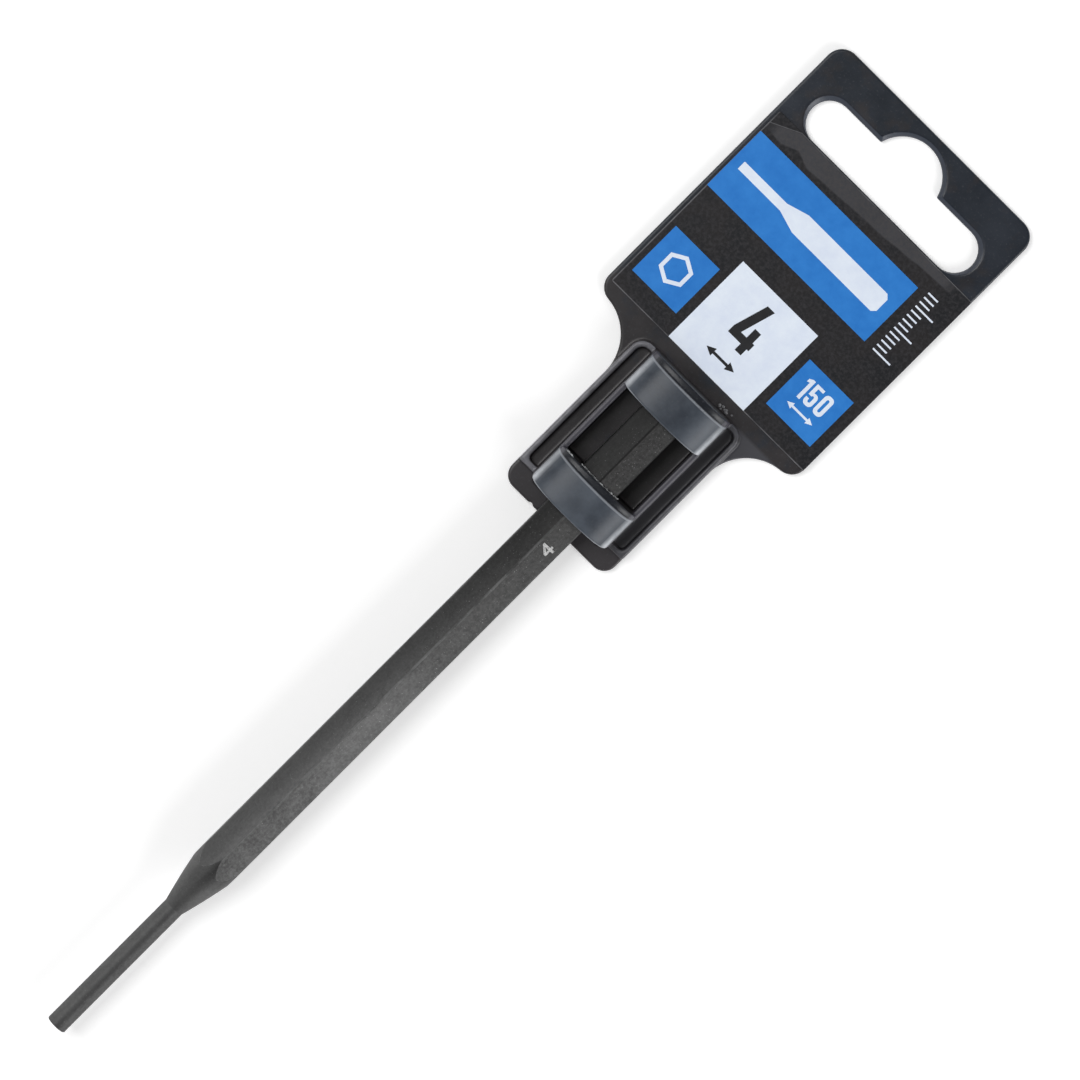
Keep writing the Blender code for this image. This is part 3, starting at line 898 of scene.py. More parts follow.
def make_punch(steel, worn_steel):
    """The bar of the punch, with the edges between its turned ends and its flats rubbed bright."""
    rings = turned_radii()
    mesh = path_mesh("punch_bar_axis", [(0, along(station), PUNCH_AXIS_Z) for station, radius in rings])
    radii = mesh.attributes.new(TURNED_ATTRIBUTE, "FLOAT", "POINT")
    radii.data.foreach_set("value", [radius for station, radius in rings])
    values = {
        "Corner Radius": HEX_CORNER_RADIUS,
        "Edge Radius": HEX_EDGE_RADIUS,
        "Sides": TURNED_SIDES,
        "Start": (0, PUNCH_LOW.y - BAR_OVERSHOOT, PUNCH_AXIS_Z),
        "End": (0, PUNCH_HIGH.y + BAR_OVERSHOOT, PUNCH_AXIS_Z),
        "Material": steel,
    }
    bar = run_nodes(add_piece("punch_bar", mesh), make_bar_tree(), values)
    bar.data.materials.append(worn_steel)
    rub = bar.modifiers.new("rub", "BEVEL")
    rub.limit_method = "WEIGHT"
    rub.width = TURNED_EDGE_BLEND
    rub.segments = 2
    rub.material = 1
    rub.use_clamp_overlap = True
    set_plain_mesh(bar)
    bar.data.shade_smooth()
    bar.data.set_sharp_from_angle(angle=math.radians(SHARP_ANGLE_DEG))
    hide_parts("punch")
    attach(bar, "punch")
    return bar


def flat_matrix(station):
    """Drawing plane on the punch's right-hand upper flat: X towards the head, Y up to the ridge."""
    across = Vector((-math.cos(HEX_HALF_SIDE), 0, math.sin(HEX_HALF_SIDE)))
    normal = Vector((math.sin(HEX_HALF_SIDE), 0, math.cos(HEX_HALF_SIDE)))
    centre = Vector((0, along(station), PUNCH_AXIS_Z)) + normal * HEX_APOTHEM
    matrix = Matrix((Vector((0, 1, 0)), across, normal)).transposed().to_4x4()
    return Matrix.Translation(centre) @ matrix


def make_size_mark(material):
    """The punch's size, marked on its flat and read towards its head."""
    left = -BROAD_FOUR_WIDTH * MARK_HEIGHT / 2
    outlines = placed(figure_broad_four(), MARK_HEIGHT, left, MARK_RISE - MARK_HEIGHT / 2)
    place = flat_matrix(MARK_STATION) @ Matrix.Translation((0, 0, MARK_THICKNESS / 4))
    mark = outline_solid("punch_size_mark", outlines, MARK_THICKNESS, 0, place)
    mark.data.materials.append(material)
    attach(mark, "punch")
    return mark


# Label


def figure_four():
    """A narrow figure 4, one unit high, open at its top."""
    bar_foot = 0.156
    bar_top = 0.3125
    stem_left = 0.33
    stem_right = 0.483
    stem_top = 0.54
    return [[
        (stem_left, 0), (stem_right, 0), (stem_right, bar_foot), (FOUR_WIDTH, bar_foot),
        (FOUR_WIDTH, bar_top), (stem_right, bar_top), (stem_right, stem_top), (stem_left, stem_top),
        (stem_left, bar_top), (0.184, bar_top), (0.382, 1), (0.20, 1), (0, bar_top), (0, bar_foot),
        (stem_left, bar_foot),
    ]]


def figure_broad_four():
    """A broad figure 4, one unit high, and its closed eye."""
    bar_foot = 0.22
    bar_top = 0.40
    stem_left = 0.42
    stem_right = 0.60
    outer = [
        (stem_left, 0), (stem_right, 0), (stem_right, bar_foot), (BROAD_FOUR_WIDTH, bar_foot),
        (BROAD_FOUR_WIDTH, bar_top), (stem_right, bar_top), (stem_right, 1), (0.48, 1), (0, bar_top),
        (0, bar_foot), (stem_left, bar_foot),
    ]
    eye = [(stem_left, bar_top), (0.22, bar_top), (stem_left, 0.69)]
    return [outer, eye]


def figure_one():
    """A narrow figure 1, one unit high."""
    left = ONE_WIDTH - FIGURE_STROKE
    return [[(left, 0), (ONE_WIDTH, 0), (ONE_WIDTH, 1), (left + 0.04, 1), (0, 0.90), (0, 0.76), (left, 0.80)]]


def figure_five():
    """The figure 5, one unit high, its bowl a rounded box open at the left."""
    width = FIGURE_WIDTH
    stroke = FIGURE_STROKE
    corner = FIGURE_CORNER
    bar_end = width * 0.94
    bar_foot = 1 - stroke * 0.85
    stem_foot = 0.44
    bowl_top = 0.64
    eye_top = 0.50
    hook_top = 0.31
    inside_left = stroke + EYE_CORNER
    inside_right = width - stroke - EYE_CORNER
    points = [(bar_end, 1), (0, 1), (0, stem_foot), (stroke * 0.95, stem_foot)]
    for centre, start in (
        ((inside_left, eye_top - EYE_CORNER), 180),
        ((inside_right, eye_top - EYE_CORNER), 90),
        ((inside_right, stroke + EYE_CORNER), 0),
        ((inside_left, stroke + EYE_CORNER), -90),
    ):
        points += arc(centre, EYE_CORNER, start, start - 90, INNER_FIGURE_STEPS)
    points += [(stroke, hook_top), (0, hook_top)]
    for centre, start in (
        ((corner, corner), 180),
        ((width - corner, corner), 270),
        ((width - corner, bowl_top - corner), 0),
    ):
        points += arc(centre, corner, start, start + 90, OUTER_FIGURE_STEPS)
    points += [(stroke, bowl_top - 0.02), (stroke, bar_foot), (bar_end, bar_foot)]
    return [points]


def figure_nought():
    """The figure 0, one unit high: a rounded box and its eye."""
    outer = rounded_rectangle((0, 0), (FIGURE_WIDTH, 1), FIGURE_CORNER)
    eye_high = (FIGURE_WIDTH - FIGURE_STROKE, 1 - FIGURE_STROKE)
    return [outer, list(reversed(rounded_rectangle((FIGURE_STROKE, FIGURE_STROKE), eye_high, EYE_CORNER)))]


def placed(outlines, height, left, foot):
    """Outlines one unit high, brought to a height and set down at a left edge and a foot."""
    return [[(left + x * height, foot + y * height) for x, y in outline] for outline in outlines]


def dimension_line(centre, half, stroke, arrow):
    """A line between two arrowheads, as on a drawing."""
    x, y = centre
    left_half = [(-half, 0), (arrow - half, -arrow / 2), (arrow - half, -stroke / 2)]
    lower = left_half + [(-across, up) for across, up in reversed(left_half)]
    upper = [(across, -up) for across, up in reversed(lower[1:-1])]
    return [[(x + across, y + up) for across, up in lower + upper]]


def hexagon_ring(centre, radius, stroke):
    """The punch's own section, a corner up."""
    outer, inner = (arc(centre, size, 90, 390, HEX_SIDES - 1) for size in (radius, radius - stroke))
    return [outer, list(reversed(inner))]


def punch_silhouette(left, right, middle, half_height):
    """The punch from its side, its tip at the left: pin, cone, bar and crowned head."""
    length = right - left
    pin_half = half_height * PIN_RADIUS / HEX_CORNER_RADIUS
    pin_end = left + length * 0.30
    cone_end = left + length * 0.42
    crown = half_height * 0.35
    lower = [(left, middle - pin_half), (pin_end, middle - pin_half), (cone_end, middle - half_height)]
    lower += [(right - crown, middle - half_height), (right, middle - half_height * 0.65)]
    return [lower + [(x, 2 * middle - y) for x, y in reversed(lower)]]


def field(x, stations):
    """A plain rectangle of the print."""
    return rectangle((x[0], along(stations[0])), (x[1], along(stations[1])))


def print_piece(name, outlines, layer, material):
    """Ink of one colour on the label; each layer lies on the one below it."""
    bottom = LABEL_HIGH.z + (layer - 1) * INK_THICKNESS
    place = lying(bottom + INK_THICKNESS / 2)
    piece = outline_solid(name, outlines, INK_THICKNESS * INK_OVERLAP, 0, place)
    piece.data.materials.append(material)
    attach(piece, "hanger")
    return piece


def make_tick_tree():
    """Geometry Nodes for a row of ruled lines, each some number of them longer than the rest."""
    kinds = {
        "Count": "Int", "Pitch": "Float", "Long Every": "Int", "Short Length": "Float",
        "Long Length": "Float", "Line Width": "Float", "Thickness": "Float", "Start": "Vector",
    }
    tree, identifiers, inputs, output = new_geometry_tree("ruled_scale", kinds)
    pitch = add_node(tree, "ShaderNodeCombineXYZ")
    row = add_node(tree, "GeometryNodeMeshLine")
    number = add_node(tree, "GeometryNodeInputIndex")
    remainder = add_node(tree, "ShaderNodeMath", operation="MODULO")
    is_long = add_node(tree, "ShaderNodeMath", {1: 0.5}, operation="LESS_THAN")
    length = add_node(tree, "ShaderNodeMapRange")
    stroke = add_node(tree, "GeometryNodeMeshCube", {"Size": (1, 1, 1)})
    from_left = add_node(tree, "GeometryNodeTransform", {"Translation": (0.5, 0, 0)})
    size = add_node(tree, "ShaderNodeCombineXYZ")
    place = add_node(tree, "GeometryNodeInstanceOnPoints")
    wire(
        (inputs, "Pitch", pitch, "Y"),
        (inputs, "Count", row, "Count"),
        (inputs, "Start", row, "Start Location"),
        (pitch, "Vector", row, "Offset"),
        (number, "Index", remainder, 0),
        (inputs, "Long Every", remainder, 1),
        (remainder, "Value", is_long, 0),
        (is_long, "Value", length, "Value"),
        (inputs, "Short Length", length, "To Min"),
        (inputs, "Long Length", length, "To Max"),
        (length, "Result", size, "X"),
        (inputs, "Line Width", size, "Y"),
        (inputs, "Thickness", size, "Z"),
        (stroke, "Mesh", from_left, "Geometry"),
        (row, "Mesh", place, "Points"),
        (from_left, "Geometry", place, "Instance"),
        (size, "Vector", place, "Scale"),
    )
    finish_tree(tree, place, "Instances", inputs, output)
    return tree, identifiers


def make_label_ticks(material):
    """A short ruled scale beside the banner."""
    values = {
        "Count": TICK_COUNT,
        "Pitch": TICK_PITCH,
        "Long Every": TICK_LONG_EVERY,
        "Short Length": TICK_SHORT,
        "Long Length": TICK_LONG,
        "Line Width": TICK_WIDTH,
        "Thickness": INK_THICKNESS * INK_OVERLAP,
        "Start": (TICK_LEFT, along(TICK_STATION), LABEL_HIGH.z + INK_THICKNESS / 2),
        "Material": material,
    }
    ticks = add_piece("label_ticks", bpy.data.meshes.new("label_ticks"))
    run_nodes(ticks, make_tick_tree(), values)
    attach(ticks, "hanger")
    return ticks


def size_print():
    """Black print on the white field: the pin's size over a dimension line."""
    middle = along(sum(SIZE_FIELD_STATIONS) / 2)
    foot = middle + SIZE_FIGURE_RISE - SIZE_FIGURE_HEIGHT / 2
    marks = placed(figure_four(), SIZE_FIGURE_HEIGHT, -FOUR_WIDTH * SIZE_FIGURE_HEIGHT / 2, foot)
    return marks + dimension_line((0, foot - SIZE_LINE_DROP), SIZE_LINE_HALF, SIZE_LINE_STROKE, SIZE_ARROW)


def length_print():
    """White print on the right-hand blue field: the punch's length over a dimension line."""
    middle = along(sum(SMALL_FIELD_STATIONS) / 2)
    one_step = LENGTH_FIGURE_HEIGHT * (ONE_WIDTH + FIGURE_GAP)
    five_step = LENGTH_FIGURE_HEIGHT * (FIGURE_WIDTH + FIGURE_GAP)
    half = (one_step + five_step + LENGTH_FIGURE_HEIGHT * FIGURE_WIDTH) / 2
    pen = SMALL_FIELD_X - half
    marks = []
    for figure, step in ((figure_one(), one_step), (figure_five(), five_step), (figure_nought(), 0)):
        marks += placed(figure, LENGTH_FIGURE_HEIGHT, pen, middle + LENGTH_FIGURE_RISE)
        pen += step
    line_centre = (SMALL_FIELD_X, middle - LENGTH_LINE_DROP)
    return marks + dimension_line(line_centre, half, LENGTH_LINE_STROKE, LENGTH_ARROW)


def make_label(film, blue, white, black):
    """The printed film: its fields, their figures and the plain drawings that fill them."""
    outline = rounded_rectangle(LABEL_LOW.xy, LABEL_HIGH.xy, LABEL_CORNER)
    bottom = PLATE_TOP - FILM_SINK
    thickness = LABEL_HIGH.z - bottom
    sheet = outline_solid("label_film", [outline], thickness, FILM_EDGE, lying(bottom + thickness / 2))
    sheet.data.materials.append(film)
    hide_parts("label")
    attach(sheet, "hanger")

    blue_fields = [field((LABEL_LOW.x + FILM_EDGE, BANNER_RIGHT), BANNER_STATIONS)]
    for middle in (-SMALL_FIELD_X, SMALL_FIELD_X):
        span = (middle - SMALL_FIELD_HALF, middle + SMALL_FIELD_HALF)
        blue_fields.append(field(span, SMALL_FIELD_STATIONS))
    white_field = field((-SIZE_FIELD_HALF, SIZE_FIELD_HALF), SIZE_FIELD_STATIONS)
    section_centre = (-SMALL_FIELD_X, along(sum(SMALL_FIELD_STATIONS) / 2))
    white_marks = length_print() + hexagon_ring(section_centre, SECTION_RADIUS, SECTION_STROKE)
    white_marks += punch_silhouette(*SILHOUETTE_X, along(sum(BANNER_STATIONS) / 2), SILHOUETTE_HALF)
    print_piece("label_fields_blue", blue_fields, 1, blue)
    print_piece("label_field_white", [white_field], 1, white)
    print_piece("label_figures_black", size_print(), 2, black)
    print_piece("label_figures_white", white_marks, 2, white)


# Materials


class Signal:
    """A number or a colour that nodes work out; numbers add, subtract and multiply as plain ones do."""

    def __init__(self, socket):
        self.socket = socket

    def __add__(self, other):
        return worked_out("ADD", self, other)

    def __sub__(self, other):
        return worked_out("SUBTRACT", self, other)

    def __rsub__(self, other):
        return worked_out("SUBTRACT", other, self)

    def __mul__(self, other):
        return worked_out("MULTIPLY", self, other)

    def __abs__(self):
        return worked_out("ABSOLUTE", self)


def feed(socket, value):
    """What nodes work out is linked to a socket; a plain number or colour is set on it."""
    if isinstance(value, Signal):
        socket.id_data.links.new(value.socket, socket)
    elif isinstance(value, tuple):
        socket.default_value = (*value, 1.0)
    else:
        socket.default_value = value


def worked_out(operation, *values):
    """What a Math node makes of one or two numbers."""
    tree = next(value.socket.id_data for value in values if isinstance(value, Signal))
    node = add_node(tree, "ShaderNodeMath", operation=operation)
    for socket, value in zip(node.inputs, values):
        feed(socket, value)
    return Signal(node.outputs["Value"])


def maximum(first, second):
    """The larger of two numbers."""
    return worked_out("MAXIMUM", first, second)


def spread(value, start, end, low=0.0, high=1.0):
    """A value's range mapped onto another, held at its ends."""
    ranges = {"From Min": start, "From Max": end, "To Min": low, "To Max": high}
    node = add_node(value.socket.id_data, "ShaderNodeMapRange", ranges)
    feed(node.inputs["Value"], value)
    return Signal(node.outputs["Result"])


def within(value, start, end, blur):
    """1 between two lengths and 0 outside them."""
    return spread(value, start - blur, start + blur) * spread(value, end - blur, end + blur, 1.0, 0.0)


def mix(factor, first, second):
    """The colour between two."""
    node = add_node(factor.socket.id_data, "ShaderNodeMix", data_type="RGBA")
    for name, value in (("Factor", factor), ("A", first), ("B", second)):
        feed(in_use(node.inputs, name), value)
    return Signal(in_use(node.outputs, "Result"))


def grey(tone):
    """A colour without a tint."""
    return (tone, tone, tone)


def new_material(name, roughness, metallic=0.0, specular=0.5):
    """A material, its tree and its Principled shader."""
    material = bpy.data.materials.new(name)
    material.use_nodes = True
    shader = material.node_tree.nodes["Principled BSDF"]
    shader.inputs["Roughness"].default_value = roughness
    shader.inputs["Metallic"].default_value = metallic
    shader.inputs["Specular IOR Level"].default_value = specular
    return material, material.node_tree, shader


def object_place(tree, stretch=(1, 1, 1), offset=(0, 0, 0)):
    """Object coordinates in metres, moved and stretched by a Mapping node."""
    coordinates = add_node(tree, "ShaderNodeTexCoord")
    mapping = add_node(tree, "ShaderNodeMapping", {"Location": offset, "Scale": stretch})
    wire((coordinates, "Object", mapping, "Vector"))
    return mapping


def noise(tree, grain, detail=3.0, roughness=0.5, **place):
    """Noise whose blotches are about as wide as the grain, in metres."""
    settings = {"Scale": 1 / grain, "Detail": detail, "Roughness": roughness}
    texture = add_node(tree, "ShaderNodeTexNoise", settings)
    wire((object_place(tree, **place), "Vector", texture, "Vector"))
    return Signal(texture.outputs["Fac"])


def coordinate(tree, axis):
    """One axis of the object coordinates, in metres."""
    separate = add_node(tree, "ShaderNodeSeparateXYZ")
    wire((object_place(tree), "Vector", separate, "Vector"))
    return Signal(separate.outputs[axis])


def rough_surface(shader, height, distance, strength):
    """Bump from a height between 0 and 1 that stands for a depth in metres."""
    bump = add_node(shader.id_data, "ShaderNodeBump", {"Distance": distance, "Strength": strength})
    feed(bump.inputs["Height"], height)
    wire((bump, "Normal", shader, "Normal"))


def band_marks(length, height, low, high, lean, head_share):
    """1 on a leaning band, on its painted highlight streaks and on its painted highlight lines along its tip
    end and its head end.
    """
    leaned = length - spread(height, SPRING_Z, SPRING_Z + BAND_RISE, *lean)
    whole = within(leaned, low.y, high.y, EDGE_BLUR)
    streaks = whole * spread(leaned, low.y, high.y, 1.0, head_share)
    tip_line = within(leaned, low.y - TIP_LINE[0], low.y + TIP_LINE[1], TIP_LINE_BLUR)
    head_line = within(leaned, high.y - HEAD_LINE_WIDTH, high.y, HEAD_LINE_BLUR)
    return whole, streaks, tip_line, head_line


def slot_slope(length, across, height):
    """1 on the slope that runs round the peg slot's ends and top, where a highlight is painted."""
    foot = PLATE_TOP - SLOT_CHAMFER_DEPTH - SLOPE_FOOT_SPARE
    sides = within(height, foot, PLATE_TOP - SLOPE_TOP_SPARE, SLOPE_BLUR)
    past_label = spread(length, *(LABEL_HIGH.y + spare for spare in SLOPE_PAST_LABEL))
    before_top = spread(length, *(CARD_HIGH.y - spare for spare in SLOPE_BEFORE_TOP), 1.0, 0.0)
    before_sides = spread(across, *(SLOT_WIDTH / 2 + spare for spare in SLOPE_PAST_SLOT), 1.0, 0.0)
    return sides * past_label * before_top * before_sides


def moulded_plastic():
    """Black plastic with a cloudy sheen: painted sheen on the bands, painted highlights on the rims, wall
    tops, slot slope and band shoulders and ends, painted shade on the lip and stop, and painted light in the
    shaded right channel and on the flange.
    """
    material, tree, shader = new_material("moulded_plastic", 0.4, specular=0.4)
    clouds = noise(tree, 0.007, 4.0, 0.6)
    tints = noise(tree, 0.004, 3.0, 0.6, offset=(0.05, 0.02, 0))
    scuffs = noise(tree, 0.0016, 3.0, 0.6)
    grain = noise(tree, 0.0004, 2.0)
    side = coordinate(tree, "X")
    length = coordinate(tree, "Y")
    height = coordinate(tree, "Z")
    across = abs(side)

    cloudy = spread(clouds, 0.35, 0.65)
    cool = mix(cloudy, (0.0055, 0.0095, 0.0165), (0.0130, 0.0180, 0.0280))
    warm = mix(cloudy, (0.0150, 0.0130, 0.0145), (0.0270, 0.0240, 0.0260))
    to_header = spread(length, LABEL_LOW.y - HEADER_FADE[0], LABEL_LOW.y + HEADER_FADE[1], 0.0, 0.30)
    low_colour = mix(spread(tints - to_header, 0.20, 0.42), cool, warm)
    # Painted sheen: the bands' raised parts get a paler, bluer colour that stands in for the light their
    # gloss catches.
    band_painted_sheen_colour = mix(spread(clouds, 0.35, 0.68), (0.026, 0.033, 0.045), (0.064, 0.077, 0.097))
    lower = band_marks(length, height, LOWER_LOW, LOWER_HIGH, LOWER_LEAN, 0.45)
    upper = band_marks(length, height, UPPER_LOW, UPPER_HIGH, UPPER_LEAN, 0.50)
    bands, streaks, tip_lines, head_lines = (maximum(*pair) for pair in zip(lower, upper))
    beside_bands = 1.0 - bands
    raised = spread(height, *RAISED_HEIGHTS)
    on_band = raised * bands
    colour = mix(on_band, low_colour, band_painted_sheen_colour)

    lip = within(length, LIP_LOW.y, LIP_HIGH.y + LIP_FACE_SHIFT, EDGE_BLUR)
    stop = within(length, STOP_LOW.y, STOP_HIGH.y, EDGE_BLUR)
    # Painted shade: the raised parts of the lip and the stop, beside the bands, are darkened.
    colour = mix(maximum(lip, stop) * raised * beside_bands, colour, (0.0050, 0.0068, 0.0110))

    # Painted highlight: a pale line along the tops of the cradle's walls, where they show beside the bands.
    wall_top_painted_highlight = spread(height, SPRING_Z - WALL_TOP_FADE[0], SPRING_Z - WALL_TOP_FADE[1])
    wall_top_painted_highlight *= within(across, WALL_LOW.x, WALL_HIGH.x, 2 * EDGE_BLUR)
    colour = mix(wall_top_painted_highlight * beside_bands * 0.75, colour, (0.072, 0.070, 0.086))

    wall_side = (WALL_HIGH.x, WALL_HIGH.x + BESIDE_WALL)
    # Painted highlight along the rims' round tops, brighter on the left-hand rim, broken up by scuff-like
    # noise.
    ridge = spread(height, *RIM_HIGHLIGHT_HEIGHTS) * spread(across, *wall_side) * spread(scuffs, 0.3, 0.6, 0.55, 1.0)
    rim_painted_highlight_colour = mix(spread(side, -0.001, 0.001), (0.185, 0.185, 0.205), (0.078, 0.079, 0.090))
    colour = mix(ridge, colour, rim_painted_highlight_colour)

    on_floor = spread(height, PLATE_TOP, PLATE_TOP + FLOOR_FADE, 1.0, 0.0)
    # Painted light: the floor of the right-hand channel, in the right wall's shadow, is made paler.
    painted_light_channel = spread(side, *wall_side) * on_floor * within(length, RIM_LOW.y, RIM_HIGH.y, 0.0003)
    colour = mix(painted_light_channel, colour, (0.050, 0.050, 0.058))
    # Painted light: the card's face below the rims, in the bands' shade, is made paler.
    flange = spread(length, RIM_LOW.y - 0.0001, RIM_LOW.y, 1.0, 0.0) * on_floor
    colour = mix(flange * 0.7, colour, (0.044, 0.040, 0.044))
    # Painted highlight on the slope round the peg slot.
    colour = mix(slot_slope(length, across, height) * 0.8, colour, (0.058, 0.066, 0.086))

    # Painted highlights: pale streaks down the bands' shoulders, broken up by scuff-like noise.
    above_wall = spread(height, SPRING_Z - ABOVE_WALL_FADE[0], SPRING_Z + ABOVE_WALL_FADE[1])
    streaks = streaks * within(across, *SHOULDER_X, SHOULDER_BLUR) * above_wall
    colour = mix(streaks * spread(scuffs, 0.3, 0.65, 0.6, 1.0), colour, (0.46, 0.48, 0.51))
    # Painted highlights: pale lines along the bands' tip ends and head ends.
    lines = maximum(tip_lines * spread(across, *TIP_LINE_X, 0.15, 1.0), head_lines * 0.6)
    colour = mix(lines * above_wall, colour, (0.30, 0.32, 0.35))
    colour = mix(spread(grain, 0.60, 0.74, 0.0, 0.4), colour, (0.06, 0.063, 0.070))
    feed(shader.inputs["Base Color"], colour)

    low_roughness = spread(clouds, 0.3, 0.7, 0.31, 0.37)
    high_roughness = spread(clouds, 0.3, 0.7, 0.34, 0.46)
    feed(shader.inputs["Roughness"], low_roughness + (high_roughness - low_roughness) * on_band)
    rough_surface(shader, grain, 0.00003, 0.35)
    return material


def torn_plastic(name, low, high):
    """Torn edges of the plastic, which scatter light."""
    material, tree, shader = new_material(name, 0.5)
    feed(shader.inputs["Base Color"], mix(spread(noise(tree, 0.0005), 0.35, 0.65), low, high))
    return material


def black_oxide_steel():
    """Blackened steel, greyer towards the tip: mottling, pale specks, faint streaks and rubbed ridges, with
    painted light on the flats and cone and a painted dark reflection along the ridge near the head.
    """
    material, tree, shader = new_material("black_oxide_steel", 0.42, 0.8)
    blotches = noise(tree, 0.0030, 4.0, 0.6)
    mottling = noise(tree, 0.00055, 4.0, 0.7)
    specks = noise(tree, 0.00022, 1.0)
    streaks = noise(tree, 0.00025, 2.0, stretch=(1, 0.03, 1))
    wear = noise(tree, 0.0012, 3.0, 0.6, stretch=(1, 0.25, 1))
    sideways = coordinate(tree, "X")
    length = coordinate(tree, "Y")
    upwards = coordinate(tree, "Z") - PUNCH_AXIS_Z

    to_tip = spread(length, *(along(station) for station in TOWARDS_TIP_STATIONS))
    to_pin = spread(length, along(PIN_LENGTH + CONE_LENGTH), along(PIN_LENGTH))
    to_head = spread(length, *(along(station) for station in TOWARDS_HEAD_STATIONS))
    patches = spread(blotches, 0.3, 0.7)
    colour = mix(patches, grey(0.0165), grey(0.0245))
    for share, dark, pale in ((to_head, 0.0080, 0.0130), (to_tip, 0.0340, 0.0560), (to_pin, 0.0600, 0.0820)):
        colour = mix(share, colour, mix(patches, grey(dark), grey(pale)))
    fleck_colour = mix(to_tip, mix(to_head, grey(0.036), grey(0.026)), grey(0.090))
    colour = mix(spread(mottling, 0.40, 0.70, 0.0, 0.60), colour, fleck_colour)
    colour = mix(spread(streaks, 0.5, 0.75, 0.0, 0.25), colour, fleck_colour)
    colour = mix(spread(specks, 0.71, 0.79, 0.0, 0.9), colour, grey(0.16))

    # Painted light: the left flat paler towards the tip and the head, a painted reflection halfway along the
    # right flat, and a painted highlight on the cone's flanks.
    left_flat = spread(sideways, -LEFT_FLAT_BLUR, LEFT_FLAT_BLUR, 1.0, 0.0)
    painted_light_left_flat = left_flat * (to_tip * 0.30 + to_head * 0.09)
    halfway = within(length, *(along(station) for station in HALFWAY_STATIONS), HALFWAY_BLUR)
    painted_reflection_right_flat = (1.0 - left_flat) * halfway * 0.13
    flank_start = along(PIN_LENGTH + CONE_FLANK_SPARES[0])
    flank_end = along(PIN_LENGTH + CONE_LENGTH - CONE_FLANK_SPARES[1])
    painted_highlight_cone = within(length, flank_start, flank_end, CONE_FLANK_BLUR) * 0.24
    colour = mix(maximum(maximum(painted_light_left_flat, painted_reflection_right_flat), painted_highlight_cone), colour, grey(0.17))

    from_axis = worked_out("SQRT", sideways * sideways + upwards * upwards)
    ridge = spread(from_axis, *(HEX_CORNER_RADIUS - depth for depth in RIDGE_WEAR_AND_REFLECTION_DEPTHS))
    # The hex ridge is rubbed pale by wear towards the tip, and near the head it carries a painted dark
    # reflection line.
    rubbed = maximum(ridge * spread(wear, 0.35, 0.65, 0.05, 0.55), ridge * to_head * 0.8)
    colour = mix(rubbed, colour, mix(to_head, grey(0.13), grey(0.003)))
    feed(shader.inputs["Base Color"], colour)
    feed(shader.inputs["Roughness"], spread(mottling, 0.3, 0.7, 0.50, 0.38) + to_pin * 0.16)
    rough_surface(shader, mottling, 0.00004, 0.4)
    return material


def rubbed_steel():
    """Edges where the black has been rubbed off."""
    material, tree, shader = new_material("rubbed_steel", 0.38, 0.9)
    shade = spread(noise(tree, 0.0009), 0.35, 0.65)
    feed(shader.inputs["Base Color"], mix(shade, grey(0.10), grey(0.42)))
    return material


def laser_mark():
    """Pale speckled marking on the black steel."""
    material, tree, shader = new_material("laser_mark", 0.6)
    speckles = spread(noise(tree, 0.00013, 2.0), 0.36, 0.55)
    feed(shader.inputs["Base Color"], mix(speckles, grey(0.16), grey(0.52)))
    return material


